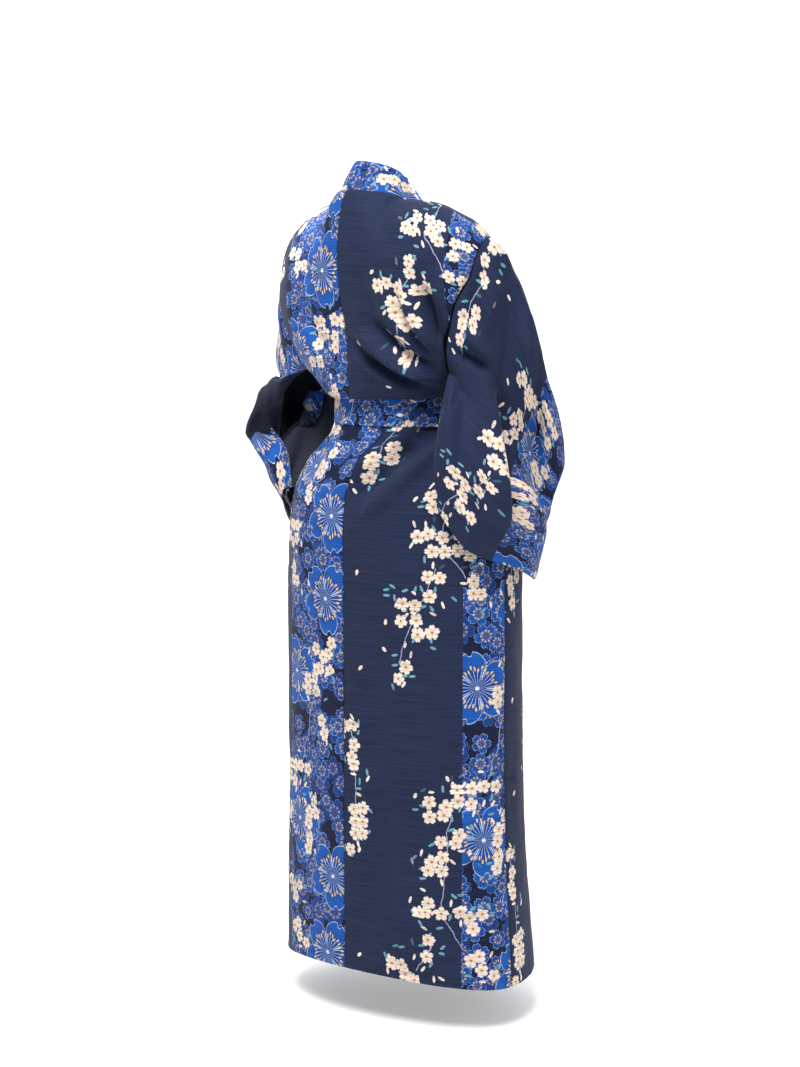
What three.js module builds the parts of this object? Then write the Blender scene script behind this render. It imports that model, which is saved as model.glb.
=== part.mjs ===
// A long unlined cotton kimono with its own narrow sash, worn on a general figure.
// Sizes are millimetres. +X is the wearer's left, +Y the back, +Z up.
// The origin is the middle of the shoulder line, where the wearer holds the garment up.
import * as THREE from 'three';
import { mergeVertices } from 'three/addons/utils/BufferGeometryUtils.js';

const CLOTH = 1.2;
const BAND = 2.4;
const BUTT = 0.6;
const BUTT_FRONT = 1.8;
const SEAM = 0.6;
const AXIS_TO_SHOULDERS = 42;
const COLLAR_WIDTH = 54;
const SASH_WIDTH = 48;
const UNDERLAP = 6;
const SLEEVE_DEPTH = 490;
const ARMHOLE = 245;
const RAD = Math.PI / 180;

// One row for each level of the body, from the hem up. Every level is an egg-shaped ring of
// four quarters: back and front are its depths, right and left the half widths at the edges of
// the panels, backSide and frontSide where those edges lie in depth. turn is the twist of the
// figure, drop how far the edges hang below the middle, shift how far the centre-back seam is
// pulled to the right, lap how far a front edge passes the middle, okumi the width of the front
// gore, sideR and sideL how far the side seams are pulled forward, steps the rows of the net.
const LEVELS = [
  { z: -1292, turn: 0, back: 165, front: 192, right: 254, left: 213, backSide: 32, frontSide: 32,
    drop: 16, shift: 0, lap: 55, okumi: 150, sideR: 0, sideL: 0, frontRise: 0, steps: 1 },
  { z: -1200, turn: 0, back: 166, front: 183, right: 248, left: 211, backSide: 32, frontSide: 32,
    drop: 12, shift: 0, lap: 62, okumi: 150, sideR: 0, sideL: 0, frontRise: 0, steps: 1 },
  { z: -1080, turn: 0, back: 167, front: 168, right: 239, left: 208, backSide: 32, frontSide: 32,
    drop: 0, shift: 0, lap: 70, okumi: 150, sideR: 0, sideL: 0, frontRise: 0, steps: 1 },
  { z: -860, turn: 0, back: 167, front: 159, right: 235, left: 207, backSide: 32, frontSide: 32,
    drop: 0, shift: 0, lap: 78, okumi: 150, sideR: 0, sideL: 0, frontRise: 0, steps: 2 },
  { z: -640, turn: 0, back: 167, front: 157, right: 234, left: 205, backSide: 32, frontSide: 32,
    drop: 0, shift: 0, lap: 80, okumi: 150, sideR: 0, sideL: 0, frontRise: 0, steps: 1 },
  { z: -560, turn: 0, back: 167, front: 155, right: 231, left: 202, backSide: 32, frontSide: 32,
    drop: 0, shift: 0, lap: 30, okumi: 100, sideR: 4, sideL: 2, frontRise: 0, steps: 1 },
  { z: -500, turn: 1, back: 163, front: 148, right: 219, left: 193, backSide: 31, frontSide: 31,
    drop: 0, shift: 0, lap: 26, okumi: 88, sideR: 14, sideL: 8, frontRise: 0, steps: 2 },
  { z: -448, turn: 2, back: 150, front: 134, right: 190, left: 170, backSide: 27, frontSide: 27,
    drop: 0, shift: 20, lap: 25, okumi: 76, sideR: 34, sideL: 18, frontRise: 0, steps: 2 },
  { z: -412, turn: 2, back: 134, front: 119, right: 160, left: 144, backSide: 19, frontSide: 19,
    drop: 0, shift: 34, lap: 25, okumi: 70, sideR: 50, sideL: 24, frontRise: 0, steps: 2 },
  { z: -376, turn: 3, back: 118, front: 106, right: 135, left: 115, backSide: 11, frontSide: 11,
    drop: 0, shift: 47, lap: 24, okumi: 66, sideR: 60, sideL: 28, frontRise: 0, steps: 2 },
  { z: -328, turn: 4, back: 115, front: 103, right: 131, left: 111, backSide: 10, frontSide: 10,
    drop: 0, shift: 2, lap: 20, okumi: 60, sideR: 0, sideL: 0, frontRise: 0, steps: 1 },
  { z: -317, turn: 5, back: 122, front: 105, right: 136, left: 113, backSide: 10, frontSide: 10,
    drop: 0, shift: 0, lap: 19, okumi: 58, sideR: 0, sideL: 0, frontRise: -3, steps: 1 },
  { z: -330, turn: 5, back: 135, front: 110, right: 148, left: 121, backSide: 12, frontSide: 8,
    drop: -4, shift: 0, lap: 18, okumi: 56, sideR: 0, sideL: 0, frontRise: 19, steps: 2 },
  { z: -300, turn: 6, back: 142, front: 119, right: 160, left: 136, backSide: 48, frontSide: 6,
    drop: 6, shift: 2, lap: 14, okumi: 46, sideR: 0, sideL: 0, frontRise: 0, steps: 2 },
  { z: -262, turn: 7, back: 143, front: 122, right: 174, left: 162, backSide: 78, frontSide: 2,
    drop: 10, shift: 8, lap: 8, okumi: 26, sideR: 0, sideL: 0, frontRise: 0, steps: 2 },
  { z: -215, turn: 8, back: 144, front: 117, right: 190, left: 188, backSide: 90, frontSide: -6,
    drop: 15, shift: 6, lap: -6, okumi: 3, sideR: 0, sideL: 0, frontRise: 0, steps: 2 },
  { z: -160, turn: 9, back: 148, front: 98, right: 208, left: 214, backSide: 88, frontSide: -8,
    drop: 18, shift: 0, lap: -26, okumi: 0, sideR: 0, sideL: 0, frontRise: 0, steps: 2 },
  { z: -100, turn: 10, back: 151, front: 58, right: 232, left: 225, backSide: 68, frontSide: 8,
    drop: 28, shift: 0, lap: -50, okumi: 0, sideR: 0, sideL: 0, frontRise: 0, steps: 4 },
];
const TOP = LEVELS.length;
const OKUMI_TIP = 15;
const RIDGE_TRIM = 0.012;
const OPEN_FROM = 10.5;
const NECK_COLUMNS = 4;
const SHOULDER_COLUMNS = 5;
const OKUMI_COLUMNS = 3;
const FRONT_NARROWER = 0.18;
const COLLAR_END = 5;
const NECK_SHARE = 0.14;
const COLLAR_TUCK = 5;
const JOINT_GAP = 0.0003;
const SASH_LEVEL = 9;
const SASH_STAND_OFF = 0.6;
const SASH_THICK = 2;
const KNOT = { width: 58, depth: 22, height: 44, lift: 7.8 };
const SLEEVE_ROWS = 11;
const HANGING_COLUMNS = 7;
const CORNER_ALONG = 0.28;
const CORNER_DOWN = 0.2;
const TOP_ROUND = 0.16;
const CUFF_OPENING = 0.47;
const CLOSED_GAP = 3.4;
const OUTER_SHARE = 0.15;
const FREE_BLEND = 60;
const ARMHOLE_REACH = 0.4;
const ARMHOLE_FULLNESS = 10;

// The neck's base in the turned figure, from the nape round to the side of the neck.
const NECK = { nape: 126, napeHeight: 12, halfWidth: 62, side: 58, sideHeight: -3 };
// The shoulder ridge runs from the side of the neck to the shoulder's end, lower on the left.
const RIDGE_CURVE = 2.2;
const RIDGE_RIGHT = { across: 251, depth: 45, height: -66 };
const RIDGE_LEFT = { across: 241, depth: 45, height: -80 };

// One row for each section of a sleeve, from the armhole to the cuff. top is the fold over the
// arm and low the bottom fold; facing is the compass angle of the outer layer's outside, belly
// its swell low down, valley its dip below the arm, gap the room between its two layers.
const SLEEVE_RIGHT = [
  { topX: -241, topY: 86, topZ: -67, lowX: -194, lowY: 108, lowZ: -476, facing: 95, belly: 20,
    valley: 0, gap: 30 },
  { topX: -272, topY: 50, topZ: -140, lowX: -174, lowY: 138, lowZ: -496, facing: 105, belly: 30,
    valley: 5, gap: 60 },
  { topX: -290, topY: 16, topZ: -238, lowX: -218, lowY: 128, lowZ: -560, facing: 130, belly: 28,
    valley: 34, gap: 56 },
  { topX: -293, topY: -26, topZ: -338, lowX: -260, lowY: 14, lowZ: -612, facing: 160, belly: 12,
    valley: 46, gap: 40 },
  { topX: -268, topY: -84, topZ: -425, lowX: -222, lowY: -66, lowZ: -652, facing: 195, belly: 0,
    valley: 8, gap: 44 },
];
const SLEEVE_LEFT = [
  { topX: 246, topY: 4, topZ: -81, lowX: 176, lowY: 92, lowZ: -490, facing: 70, belly: -60,
    valley: 0, gap: 30 },
  { topX: 268, topY: -6, topZ: -158, lowX: 208, lowY: 74, lowZ: -510, facing: 60, belly: 22,
    valley: 0, gap: 60 },
  { topX: 294, topY: -16, topZ: -248, lowX: 238, lowY: 46, lowZ: -512, facing: 45, belly: 26,
    valley: 6, gap: 60 },
  { topX: 308, topY: -42, topZ: -340, lowX: 246, lowY: -26, lowZ: -620, facing: 20, belly: 20,
    valley: 16, gap: 56 },
  { topX: 290, topY: -118, topZ: -405, lowX: 232, lowY: -112, lowZ: -690, facing: -5, belly: 0,
    valley: 20, gap: 56 },
];

// The open body-side edge of each sleeve's outer layer below the armhole, by the distance from
// the top fold.
const FREE_EDGE_RIGHT = [
  { down: 245, x: -186, y: 112, z: -262 },
  { down: 300, x: -176, y: 124, z: -318 },
  { down: 370, x: -166, y: 130, z: -385 },
  { down: 440, x: -176, y: 130, z: -440 },
  { down: 490, x: -196, y: 108, z: -478 },
];
const FREE_EDGE_LEFT = [
  { down: 245, x: 172, y: 86, z: -262 },
  { down: 300, x: 206, y: 80, z: -305 },
  { down: 370, x: 258, y: 66, z: -368 },
  { down: 440, x: 196, y: 78, z: -432 },
  { down: 490, x: 178, y: 90, z: -490 },
];

const INDIGO = 0x232a48;
const BLUE = 0x1c4f9c;

const smooth = (low, high, value) => {
  const t = Math.min(Math.max((value - low) / (high - low), 0), 1);
  return t * t * (3 - 2 * t);
};

// A smooth reading of one column of a table, which never swings past its rows' own values.
function read(table, column, at) {
  const last = table.length - 1;
  const clamped = Math.min(Math.max(at, 0), last);
  const index = Math.min(Math.floor(clamped), last - 1);
  const t = clamped - index;
  const value = (row) => table[Math.min(Math.max(row, 0), last)][column];
  const slope = (row) => {
    const before = value(row) - value(row - 1);
    const after = value(row + 1) - value(row);
    return before * after <= 0 ? 0 : (2 * before * after) / (before + after);
  };
  const start = value(index);
  const end = value(index + 1);
  const square = t * t;
  const cube = square * t;
  return start * (2 * cube - 3 * square + 1) + end * (3 * square - 2 * cube)
    + slope(index) * (cube - 2 * square + t) + slope(index + 1) * (cube - square);
}

function turned(x, y, z, degrees) {
  const angle = degrees * RAD;
  return new THREE.Vector3(
    x * Math.cos(angle) + y * Math.sin(angle), y * Math.cos(angle) - x * Math.sin(angle), z);
}

// The four quarters of one level's ring, as points with their running length.
function ring(level) {
  const value = (column) => read(LEVELS, column, level);
  const points = [];
  const pieces = 20;
  const quarter = (fromEdge, half, side, depth, sign, rise = 0) => {
    for (let i = 0; i <= pieces; i += 1) {
      const angle = (fromEdge ? 1 - i / pieces : i / pieces) * Math.PI / 2;
      const across = Math.sin(angle);
      const height = value('z') + rise * (1 - across * across) - value('drop') * across * across;
      points.push([sign * half * across, side + depth * Math.cos(angle), height]);
    }
  };
  return { value, points, quarter };
}

function measured(points, turn) {
  const places = points.map(([x, y, z]) => turned(x, y, z, turn));
  const lengths = [0];
  for (let i = 1; i < places.length; i += 1) {
    lengths.push(lengths[i - 1] + places[i].distanceTo(places[i - 1]));
  }
  return { places, lengths };
}

// The point at a distance along a measured line, carried on straight past its ends.
function along(line, distance) {
  const { places, lengths } = line;
  let index = 1;
  while (index < lengths.length - 1 && lengths[index] < distance) index += 1;
  const span = Math.max(lengths[index] - lengths[index - 1], 1e-6);
  return places[index - 1].clone().lerp(places[index], (distance - lengths[index - 1]) / span);
}

const cache = new Map();

// Back line from the left edge to the right, front line from the right edge to the left.
function level(at) {
  if (!cache.has(at)) {
    const { value, points, quarter } = ring(at);
    const backSide = value('backSide');
    const frontSide = value('frontSide');
    quarter(true, value('left'), backSide, value('back') - backSide, 1);
    points.pop();
    quarter(false, value('right'), backSide, value('back') - backSide, -1);
    const back = measured(points, value('turn'));
    points.length = 0;
    const narrower = (backSide - frontSide) * FRONT_NARROWER;
    const rise = value('frontRise');
    quarter(true, value('right') - narrower, frontSide, -value('front') - frontSide, -1, rise);
    points.pop();
    quarter(false, value('left') - narrower, frontSide, -value('front') - frontSide, 1, rise);
    const front = measured(points, value('turn'));
    cache.set(at, { value, back, front });
  }
  return cache.get(at);
}

function ridgeHeight(end, across) {
  const share = Math.max(across - NECK.halfWidth, 0) / (end.across - NECK.halfWidth);
  return NECK.sideHeight + (end.height - NECK.sideHeight) * share ** RIDGE_CURVE;
}

// The top edge of a back panel from the nape round the neck and out along the shoulder, or of a
// front panel from the shoulder's end in to the side of the neck. sign is -1 on the right.
function topLine(sign, isBack) {
  const end = sign < 0 ? RIDGE_RIGHT : RIDGE_LEFT;
  const points = [];
  const pieces = 10;
  if (isBack) {
    for (let i = 0; i < pieces; i += 1) {
      const angle = (i / pieces) * Math.PI / 2;
      const rise = NECK.sideHeight + (NECK.napeHeight - NECK.sideHeight) * Math.cos(angle) ** 0.6;
      points.push([sign * NECK.halfWidth * Math.sin(angle),
        NECK.side + (NECK.nape - NECK.side) * Math.cos(angle), rise]);
    }
  }
  for (let i = 0; i <= pieces; i += 1) {
    const across = NECK.halfWidth + (end.across - NECK.halfWidth) * (i / pieces);
    const depth = NECK.side + (end.depth - NECK.side) * (i / pieces);
    points.push([sign * across, depth, ridgeHeight(end, across)]);
  }
  if (!isBack) points.reverse();
  return measured(points, read(LEVELS, 'turn', TOP));
}

const TOP_LINES = {
  back: { right: topLine(-1, true), left: topLine(1, true) },
  front: { right: topLine(-1, false), left: topLine(1, false) },
};

const total = (line) => line.lengths[line.lengths.length - 1];
const NECK_LENGTH = TOP_LINES.back.right.lengths[10];
const NECK_PART = NECK_LENGTH / total(TOP_LINES.back.right);

// Where the seams of one level lie, as distances along its back and front lines.
function seams(at) {
  const { value, back, front } = level(at);
  const middleBack = back.lengths[20];
  const middleFront = front.lengths[20];
  return {
    centre: middleBack + value('shift'),
    lapRight: middleFront + value('lap'),
    lapLeft: middleFront - value('lap'),
    okumiRight: middleFront + value('lap') - value('okumi'),
    okumiLeft: middleFront - value('lap') + value('okumi'),
    sideRight: value('sideR'),
    sideLeft: value('sideL'),
    backLength: total(back),
    frontLength: total(front),
  };
}

// The lower layer of the wrap lies under the upper one from a little before it to its edge.
function under(at, distance) {
  const { value, front } = level(at);
  const start = front.lengths[20] - value('lap') - COLLAR_WIDTH - 70;
  return UNDERLAP * smooth(start, start + 55, distance);
}

function ringPoint(at, isFront, distance, sink) {
  const { back, front } = level(at);
  const line = isFront ? front : back;
  const point = along(line, distance);
  if (sink === 0) return point;
  const ahead = along(line, distance + 1).sub(along(line, distance - 1)).normalize();
  return point.add(new THREE.Vector3(-ahead.y, ahead.x, 0).multiplyScalar(sink));
}

// A point of a body panel: across is 0 to 1 from the first seam to the second, at the level.
function bodyPoint(panel, across, at) {
  const low = Math.min(at, TOP - 1);
  const seam = seams(low);
  const { side, isFront, from, to } = panel;
  const start = from(seam);
  const distance = start + (to(seam) - start) * across;
  const sink = isFront && side === 'right' ? under(low, distance) : 0;
  const length = isFront ? seam.frontLength : seam.backLength;
  const closed = low < OPEN_FROM;
  let point;
  if (closed && distance > length) point = ringPoint(low, !isFront, distance - length, 0);
  else if (closed && distance < 0) {
    const other = isFront ? seam.backLength : seam.frontLength;
    point = ringPoint(low, !isFront, other + distance, 0);
  } else point = ringPoint(low, isFront, distance, sink);
  if (at <= TOP - 1) return point;
  const t = Math.min(at - (TOP - 1), 1);
  const line = TOP_LINES[isFront ? 'front' : 'back'][side];
  const goal = along(line, total(line) * panel.topShare(across));
  const bend = 1 - Math.cos(t * Math.PI / 2);
  const rise = Math.sin(t * Math.PI / 2);
  return new THREE.Vector3(
    point.x + (goal.x - point.x) * t,
    point.y + (goal.y - point.y) * bend,
    point.z + (goal.z - point.z) * rise);
}

// Each body panel runs from its first seam to its second as they lie round the figure.
const PANELS = {
  back_right: { side: 'right', isFront: false, top: TOP, from: (s) => s.centre,
    to: (s) => s.backLength + s.sideRight, topShare: (a) => a },
  back_left: { side: 'left', isFront: false, top: TOP, from: (s) => -s.sideLeft,
    to: (s) => s.centre, topShare: (a) => 1 - a },
  front_right: { side: 'right', isFront: true, top: TOP, from: (s) => s.sideRight,
    to: (s) => s.okumiRight, topShare: (a) => a },
  front_left: { side: 'left', isFront: true, top: TOP, from: (s) => s.okumiLeft,
    to: (s) => s.frontLength - s.sideLeft, topShare: (a) => 1 - a },
  okumi_right: { side: 'right', isFront: true, top: OKUMI_TIP, from: (s) => s.okumiRight,
    to: (s) => s.lapRight, topShare: (a) => a },
  okumi_left: { side: 'left', isFront: true, top: OKUMI_TIP, from: (s) => s.lapLeft,
    to: (s) => s.okumiLeft, topShare: (a) => a },
};

// The rows of the net up to a level, closer together where the cloth bends more.
function rowLevels(top) {
  const rows = [];
  LEVELS.forEach((entry, index) => {
    for (let i = 0; i < entry.steps; i += 1) rows.push(index + i / entry.steps);
  });
  return [...rows.filter((at) => at < top), top === TOP ? top - RIDGE_TRIM : top];
}

// A closed solid from a net of outside points and their outward directions.
function wall(outside, inside) {
  const rows = outside.length;
  const columns = outside[0].length;
  const positions = [];
  for (const net of [outside, inside]) {
    for (const row of net) for (const point of row) positions.push(point.x, point.y, point.z);
  }
  const place = (layer, i, j) => layer * rows * columns + i * columns + j;
  const index = [];
  const face = (a, b, c, d) => index.push(a, b, c, a, c, d);
  for (let i = 0; i < rows - 1; i += 1) {
    for (let j = 0; j < columns - 1; j += 1) {
      face(place(0, i, j), place(0, i, j + 1), place(0, i + 1, j + 1), place(0, i + 1, j));
      face(place(1, i, j), place(1, i + 1, j), place(1, i + 1, j + 1), place(1, i, j + 1));
    }
  }
  for (let j = 0; j < columns - 1; j += 1) {
    face(place(0, 0, j + 1), place(0, 0, j), place(1, 0, j), place(1, 0, j + 1));
    face(place(0, rows - 1, j), place(0, rows - 1, j + 1), place(1, rows - 1, j + 1), place(1, rows - 1, j));
  }
  for (let i = 0; i < rows - 1; i += 1) {
    face(place(0, i, 0), place(0, i + 1, 0), place(1, i + 1, 0), place(1, i, 0));
    face(place(0, i + 1, columns - 1), place(0, i, columns - 1), place(1, i, columns - 1),
      place(1, i + 1, columns - 1));
  }
  const geometry = new THREE.BufferGeometry();
  geometry.setAttribute('position', new THREE.Float32BufferAttribute(positions, 3));
  geometry.setIndex(index);
  geometry.computeVertexNormals();
  return geometry;
}

// A wall of even thickness from a function of two numbers, the columns' and the rows'.
function sheet(pointAt, rows, columns, thickness) {
  const step = 1e-3;
  const outside = [];
  const inside = [];
  for (const v of rows) {
    const outer = [];
    const inner = [];
    for (const u of columns) {
      const point = pointAt(u, v);
      const columnWay = pointAt(u + step, v).sub(pointAt(u - step, v));
      const rowWay = pointAt(u, v + step).sub(pointAt(u, v - step));
      outer.push(point);
      inner.push(point.clone().addScaledVector(columnWay.cross(rowWay).normalize(), -thickness));
    }
    outside.push(outer);
    inside.push(inner);
  }
  return wall(outside, inside);
}

const steps = (from, to, count) =>
  Array.from({ length: count + 1 }, (_, i) => from + (to - from) * (i / count));

// The columns of a panel. A back panel has one column at the side of the neck, and its outer
// columns meet the front panel's along the shoulder.
function panelColumns(name, trim) {
  if (name.startsWith('okumi')) return steps(trim, 1 - trim, OKUMI_COLUMNS);
  if (name.startsWith('front')) return steps(trim, 1 - trim, SHOULDER_COLUMNS);
  const neck = steps(trim, NECK_PART, NECK_COLUMNS);
  const columns = [...neck, ...steps(NECK_PART, 1 - trim, SHOULDER_COLUMNS).slice(1)];
  return name === 'back_right' ? columns : columns.map((share) => 1 - share).reverse();
}

function bodyPanel(name) {
  const panel = PANELS[name];
  const width = bodyPoint(panel, 0, 5).distanceTo(bodyPoint(panel, 1, 5));
  const trim = SEAM / 2 / width;
  const pointAt = (across, at) => bodyPoint(panel, across, at);
  return sheet(pointAt, rowLevels(panel.top), panelColumns(name, trim), CLOTH);
}

// The edge of the body at an armhole, from the shoulder's end down.
function armholeEdge(side, isFront) {
  const panel = PANELS[`${isFront ? 'front' : 'back'}_${side}`];
  const width = bodyPoint(panel, 0, TOP - 1).distanceTo(bodyPoint(panel, 1, TOP - 1));
  const past = (isFront ? BUTT_FRONT : BUTT) / width;
  const across = (side === 'right') === isFront ? -past : 1 + past;
  const levels = steps(TOP - RIDGE_TRIM, TOP - 6, 60);
  const places = levels.map((at) => bodyPoint(panel, across, at));
  const lengths = [0];
  for (let i = 1; i < places.length; i += 1) {
    lengths.push(lengths[i - 1] + places[i].distanceTo(places[i - 1]));
  }
  return { places, lengths, levels };
}

// How far down each layer of a sleeve has a column: at the body's own rows as far as the
// armhole goes, then evenly to the bottom fold.
function sleeveColumns(side, isFront) {
  const { levels, lengths } = armholeEdge(side, isFront);
  const sewn = rowLevels(TOP).reverse().map((at) => {
    const share = (levels[0] - at) / (levels[0] - levels[60]);
    const index = Math.min(Math.floor(share * 60), 59);
    return lengths[index] + (lengths[index + 1] - lengths[index]) * (share * 60 - index);
  });
  const first = sewn.filter((down) => down > 1 && down < ARMHOLE - 8);
  return [...first, ...steps(ARMHOLE, SLEEVE_DEPTH - 0.5, HANGING_COLUMNS)];
}

const bell = (at, middle, reach) => {
  const t = Math.min(Math.abs(at - middle) / reach, 1);
  return (1 - t * t) ** 2;
};

// A sleeve is one cloth folded over the arm: down is positive on the outer layer, negative on
// the inner one, and along runs from 0 at the armhole to 1 at the cuff.
function makeSleeve(side, table, freeEdge) {
  const last = table.length - 1;
  const outerEdge = armholeEdge(side, false);
  const innerEdge = armholeEdge(side, true);
  const free = measuredRows(freeEdge);
  const outward = side === 'right' ? -1 : 1;

  const loose = (along, down) => {
    const at = along * last;
    const value = (column) => read(table, column, at);
    const corner = Math.max(along - (1 - CORNER_ALONG), 0) / CORNER_ALONG;
    const longest = 1 - CORNER_DOWN * (1 - Math.sqrt(Math.max(1 - corner * corner, 0)));
    const depth = Math.min(Math.abs(down) / SLEEVE_DEPTH, 1.01) * longest;
    const angle = value('facing') * RAD;
    const out = new THREE.Vector3(Math.cos(angle), Math.sin(angle), 0);
    const swell = value('belly') * bell(depth, 0.72, 0.34) - value('valley') * bell(depth, 0.36, 0.3);
    const top = new THREE.Vector3(value('topX'), value('topY'), value('topZ'));
    const low = new THREE.Vector3(value('lowX'), value('lowY'), value('lowZ'));
    const point = top.lerp(low, depth).addScaledVector(out, swell);
    const round = Math.min(depth / TOP_ROUND, 1);
    const open = Math.sqrt(1 - (1 - round) ** 2) * (1 - smooth(0.5, 0.92, depth))
      * (1 - smooth(0.8, 1, along) * smooth(CUFF_OPENING - 0.06, CUFF_OPENING + 0.06, depth));
    const room = CLOSED_GAP * Math.min(depth / 0.01, 1) + (value('gap') - CLOSED_GAP) * open;
    return down >= 0 ? point.addScaledVector(out, OUTER_SHARE * room)
      : point.addScaledVector(out, (OUTER_SHARE - 1) * room);
  };

  const edge = (down) => {
    const depth = Math.abs(down);
    const line = down >= 0 ? outerEdge : innerEdge;
    const sewn = along(line, Math.min(depth, ARMHOLE));
    if (depth <= ARMHOLE) return sewn;
    const hanging = down >= 0 ? free(depth) : loose(0, down);
    const start = down >= 0 ? free(ARMHOLE) : loose(0, -ARMHOLE);
    const fade = 1 - smooth(ARMHOLE, ARMHOLE + FREE_BLEND, depth);
    return hanging.addScaledVector(sewn.sub(start), fade);
  };

  return (alongSleeve, down) => {
    const fade = 1 - smooth(0, ARMHOLE_REACH, alongSleeve);
    const point = loose(alongSleeve, down);
    if (fade > 0) point.addScaledVector(edge(down).sub(loose(0, down)), fade);
    point.x += outward * ARMHOLE_FULLNESS * bell(alongSleeve, 0.1, 0.1);
    return point;
  };
}

// A path through a table of places, read by the distance in its column "down".
function measuredRows(table) {
  return (down) => {
    let index = 0;
    while (index < table.length - 2 && table[index + 1].down < down) index += 1;
    const share = (down - table[index].down) / (table[index + 1].down - table[index].down);
    const at = index + share;
    return new THREE.Vector3(read(table, 'x', at), read(table, 'y', at), read(table, 'z', at));
  };
}

function sleeve(side, table, freeEdge) {
  const pointAt = makeSleeve(side, table, freeEdge);
  const outer = sleeveColumns(side, false);
  const inner = sleeveColumns(side, true).reverse().map((down) => -down);
  const downs = [...inner, 0, ...outer];
  const rows = steps(0, 1, SLEEVE_ROWS);
  if (side === 'right') return sheet((down, row) => pointAt(row, down), rows, downs, CLOTH);
  const across = downs.map((down) => -down).reverse();
  return sheet((place, row) => pointAt(row, -place), rows, across, CLOTH);
}

// The collar's sewn line runs up the left front edge, round the neck and down the right one.
// part is -1 at the left end, 0 at the nape and 1 at the right end.
function collarPoint(part, across) {
  const sign = part < 0 ? 1 : -1;
  const side = part < 0 ? 'left' : 'right';
  const share = Math.abs(part);
  const reach = across * COLLAR_WIDTH + SEAM;
  const turn = read(LEVELS, 'turn', TOP);
  if (share <= NECK_SHARE) {
    const aside = share / NECK_SHARE;
    const base = along(TOP_LINES.back[side], aside * NECK_LENGTH);
    return base.addScaledVector(collarLean(sign, aside, turn), reach);
  }
  const at = TOP - ((share - NECK_SHARE) / (1 - NECK_SHARE)) * (TOP - COLLAR_END);
  const low = Math.min(at, TOP - 1);
  const { value, front } = level(low);
  const lap = value('lap') * -sign;
  const distanceAt = (gone) => front.lengths[20] + lap - sign * gone;
  const sink = (gone) => (side === 'right' ? under(low, distanceAt(gone)) : 0);
  const lying = ringPoint(low, true, distanceAt(reach), sink(reach));
  if (at <= TOP - 1) return lying;
  const panel = PANELS[`front_${side}`];
  const inner = side === 'right' ? 1 : 0;
  const base = bodyPoint(panel, inner, at);
  const flat = lying.sub(ringPoint(low, true, distanceAt(0), sink(0))).divideScalar(reach);
  const t = at - (TOP - 1);
  const tuck = side === 'right' ? COLLAR_TUCK * (1 - smooth(0.3, 0.9, t)) * across : 0;
  const lean = flat.lerp(collarLean(sign, 1, turn), t).normalize();
  return base.addScaledVector(lean, reach).add(new THREE.Vector3(0, tuck, 0));
}

// Which way the band stands from the neck: upright and forward at the nape, inward at the side.
function collarLean(sign, aside, turn) {
  const x = -sign * 0.5 * aside;
  const z = 0.89 - 0.15 * aside;
  return turned(x, -0.45, z, turn).normalize();
}

// The places along the collar where it has a section: those of the panels that it is sewn to.
function collarParts() {
  const front = rowLevels(TOP).filter((at) => at >= COLLAR_END)
    .map((at) => NECK_SHARE + (1 - NECK_SHARE) * ((TOP - at) / (TOP - COLLAR_END)));
  const neck = steps(NECK_SHARE, 0, NECK_COLUMNS);
  const half = [...front, ...neck.slice(1)];
  return [...half.map((part) => -part), ...half.slice(0, -1).reverse()];
}

function collar(parts) {
  return sheet(collarPoint, steps(0, 1, 2), parts, BAND);
}

// The sash lies round the waist on the wrapped cloth, its ends meeting under the knot.
function sashPoint(round, height) {
  const at = SASH_LEVEL + height;
  const { back, front } = level(at);
  const whole = total(back) + total(front);
  const start = total(back) + front.lengths[20];
  const distance = (start + round * whole) % whole;
  const isFront = distance > total(back);
  return ringPoint(at, isFront, isFront ? distance - total(back) : distance, -SASH_STAND_OFF - SASH_THICK);
}

const cloth = (color) => new THREE.MeshStandardMaterial({ color, roughness: 0.85, metalness: 0 });

function named(name, geometry, color) {
  const mesh = new THREE.Mesh(geometry, cloth(color));
  mesh.name = name;
  return mesh;
}

// A hanging end of the sash: a flat strip from the knot down the front of the skirt.
function sashEnd(sign) {
  const pointAt = (across, down) => {
    const at = SASH_LEVEL + 0.3 - down * 3.2;
    const { front } = level(at);
    const middle = front.lengths[20] - sign * (16 + 26 * down);
    const layer = SASH_THICK + 0.6;
    const stand = SASH_STAND_OFF + 2 * layer + (sign > 0 ? layer : 0) + 6 * Math.sin(down * Math.PI);
    return ringPoint(at, true, middle + across * SASH_WIDTH * 0.8, -stand);
  };
  return sheet((across, up) => pointAt(across, 1 - up), steps(0, 1, 10), steps(-0.5, 0.5, 2), SASH_THICK);
}

function sashKnot() {
  const middle = sashPoint(0, 0.5);
  const shape = new THREE.SphereGeometry(1, 14, 8);
  shape.deleteAttribute('normal');
  shape.deleteAttribute('uv');
  const solid = mergeVertices(shape, 1e-4);
  solid.scale(KNOT.width / 2, KNOT.depth / 2, KNOT.height / 2);
  solid.translate(middle.x, middle.y - KNOT.depth / 2 - KNOT.lift, middle.z);
  return solid;
}

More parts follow.
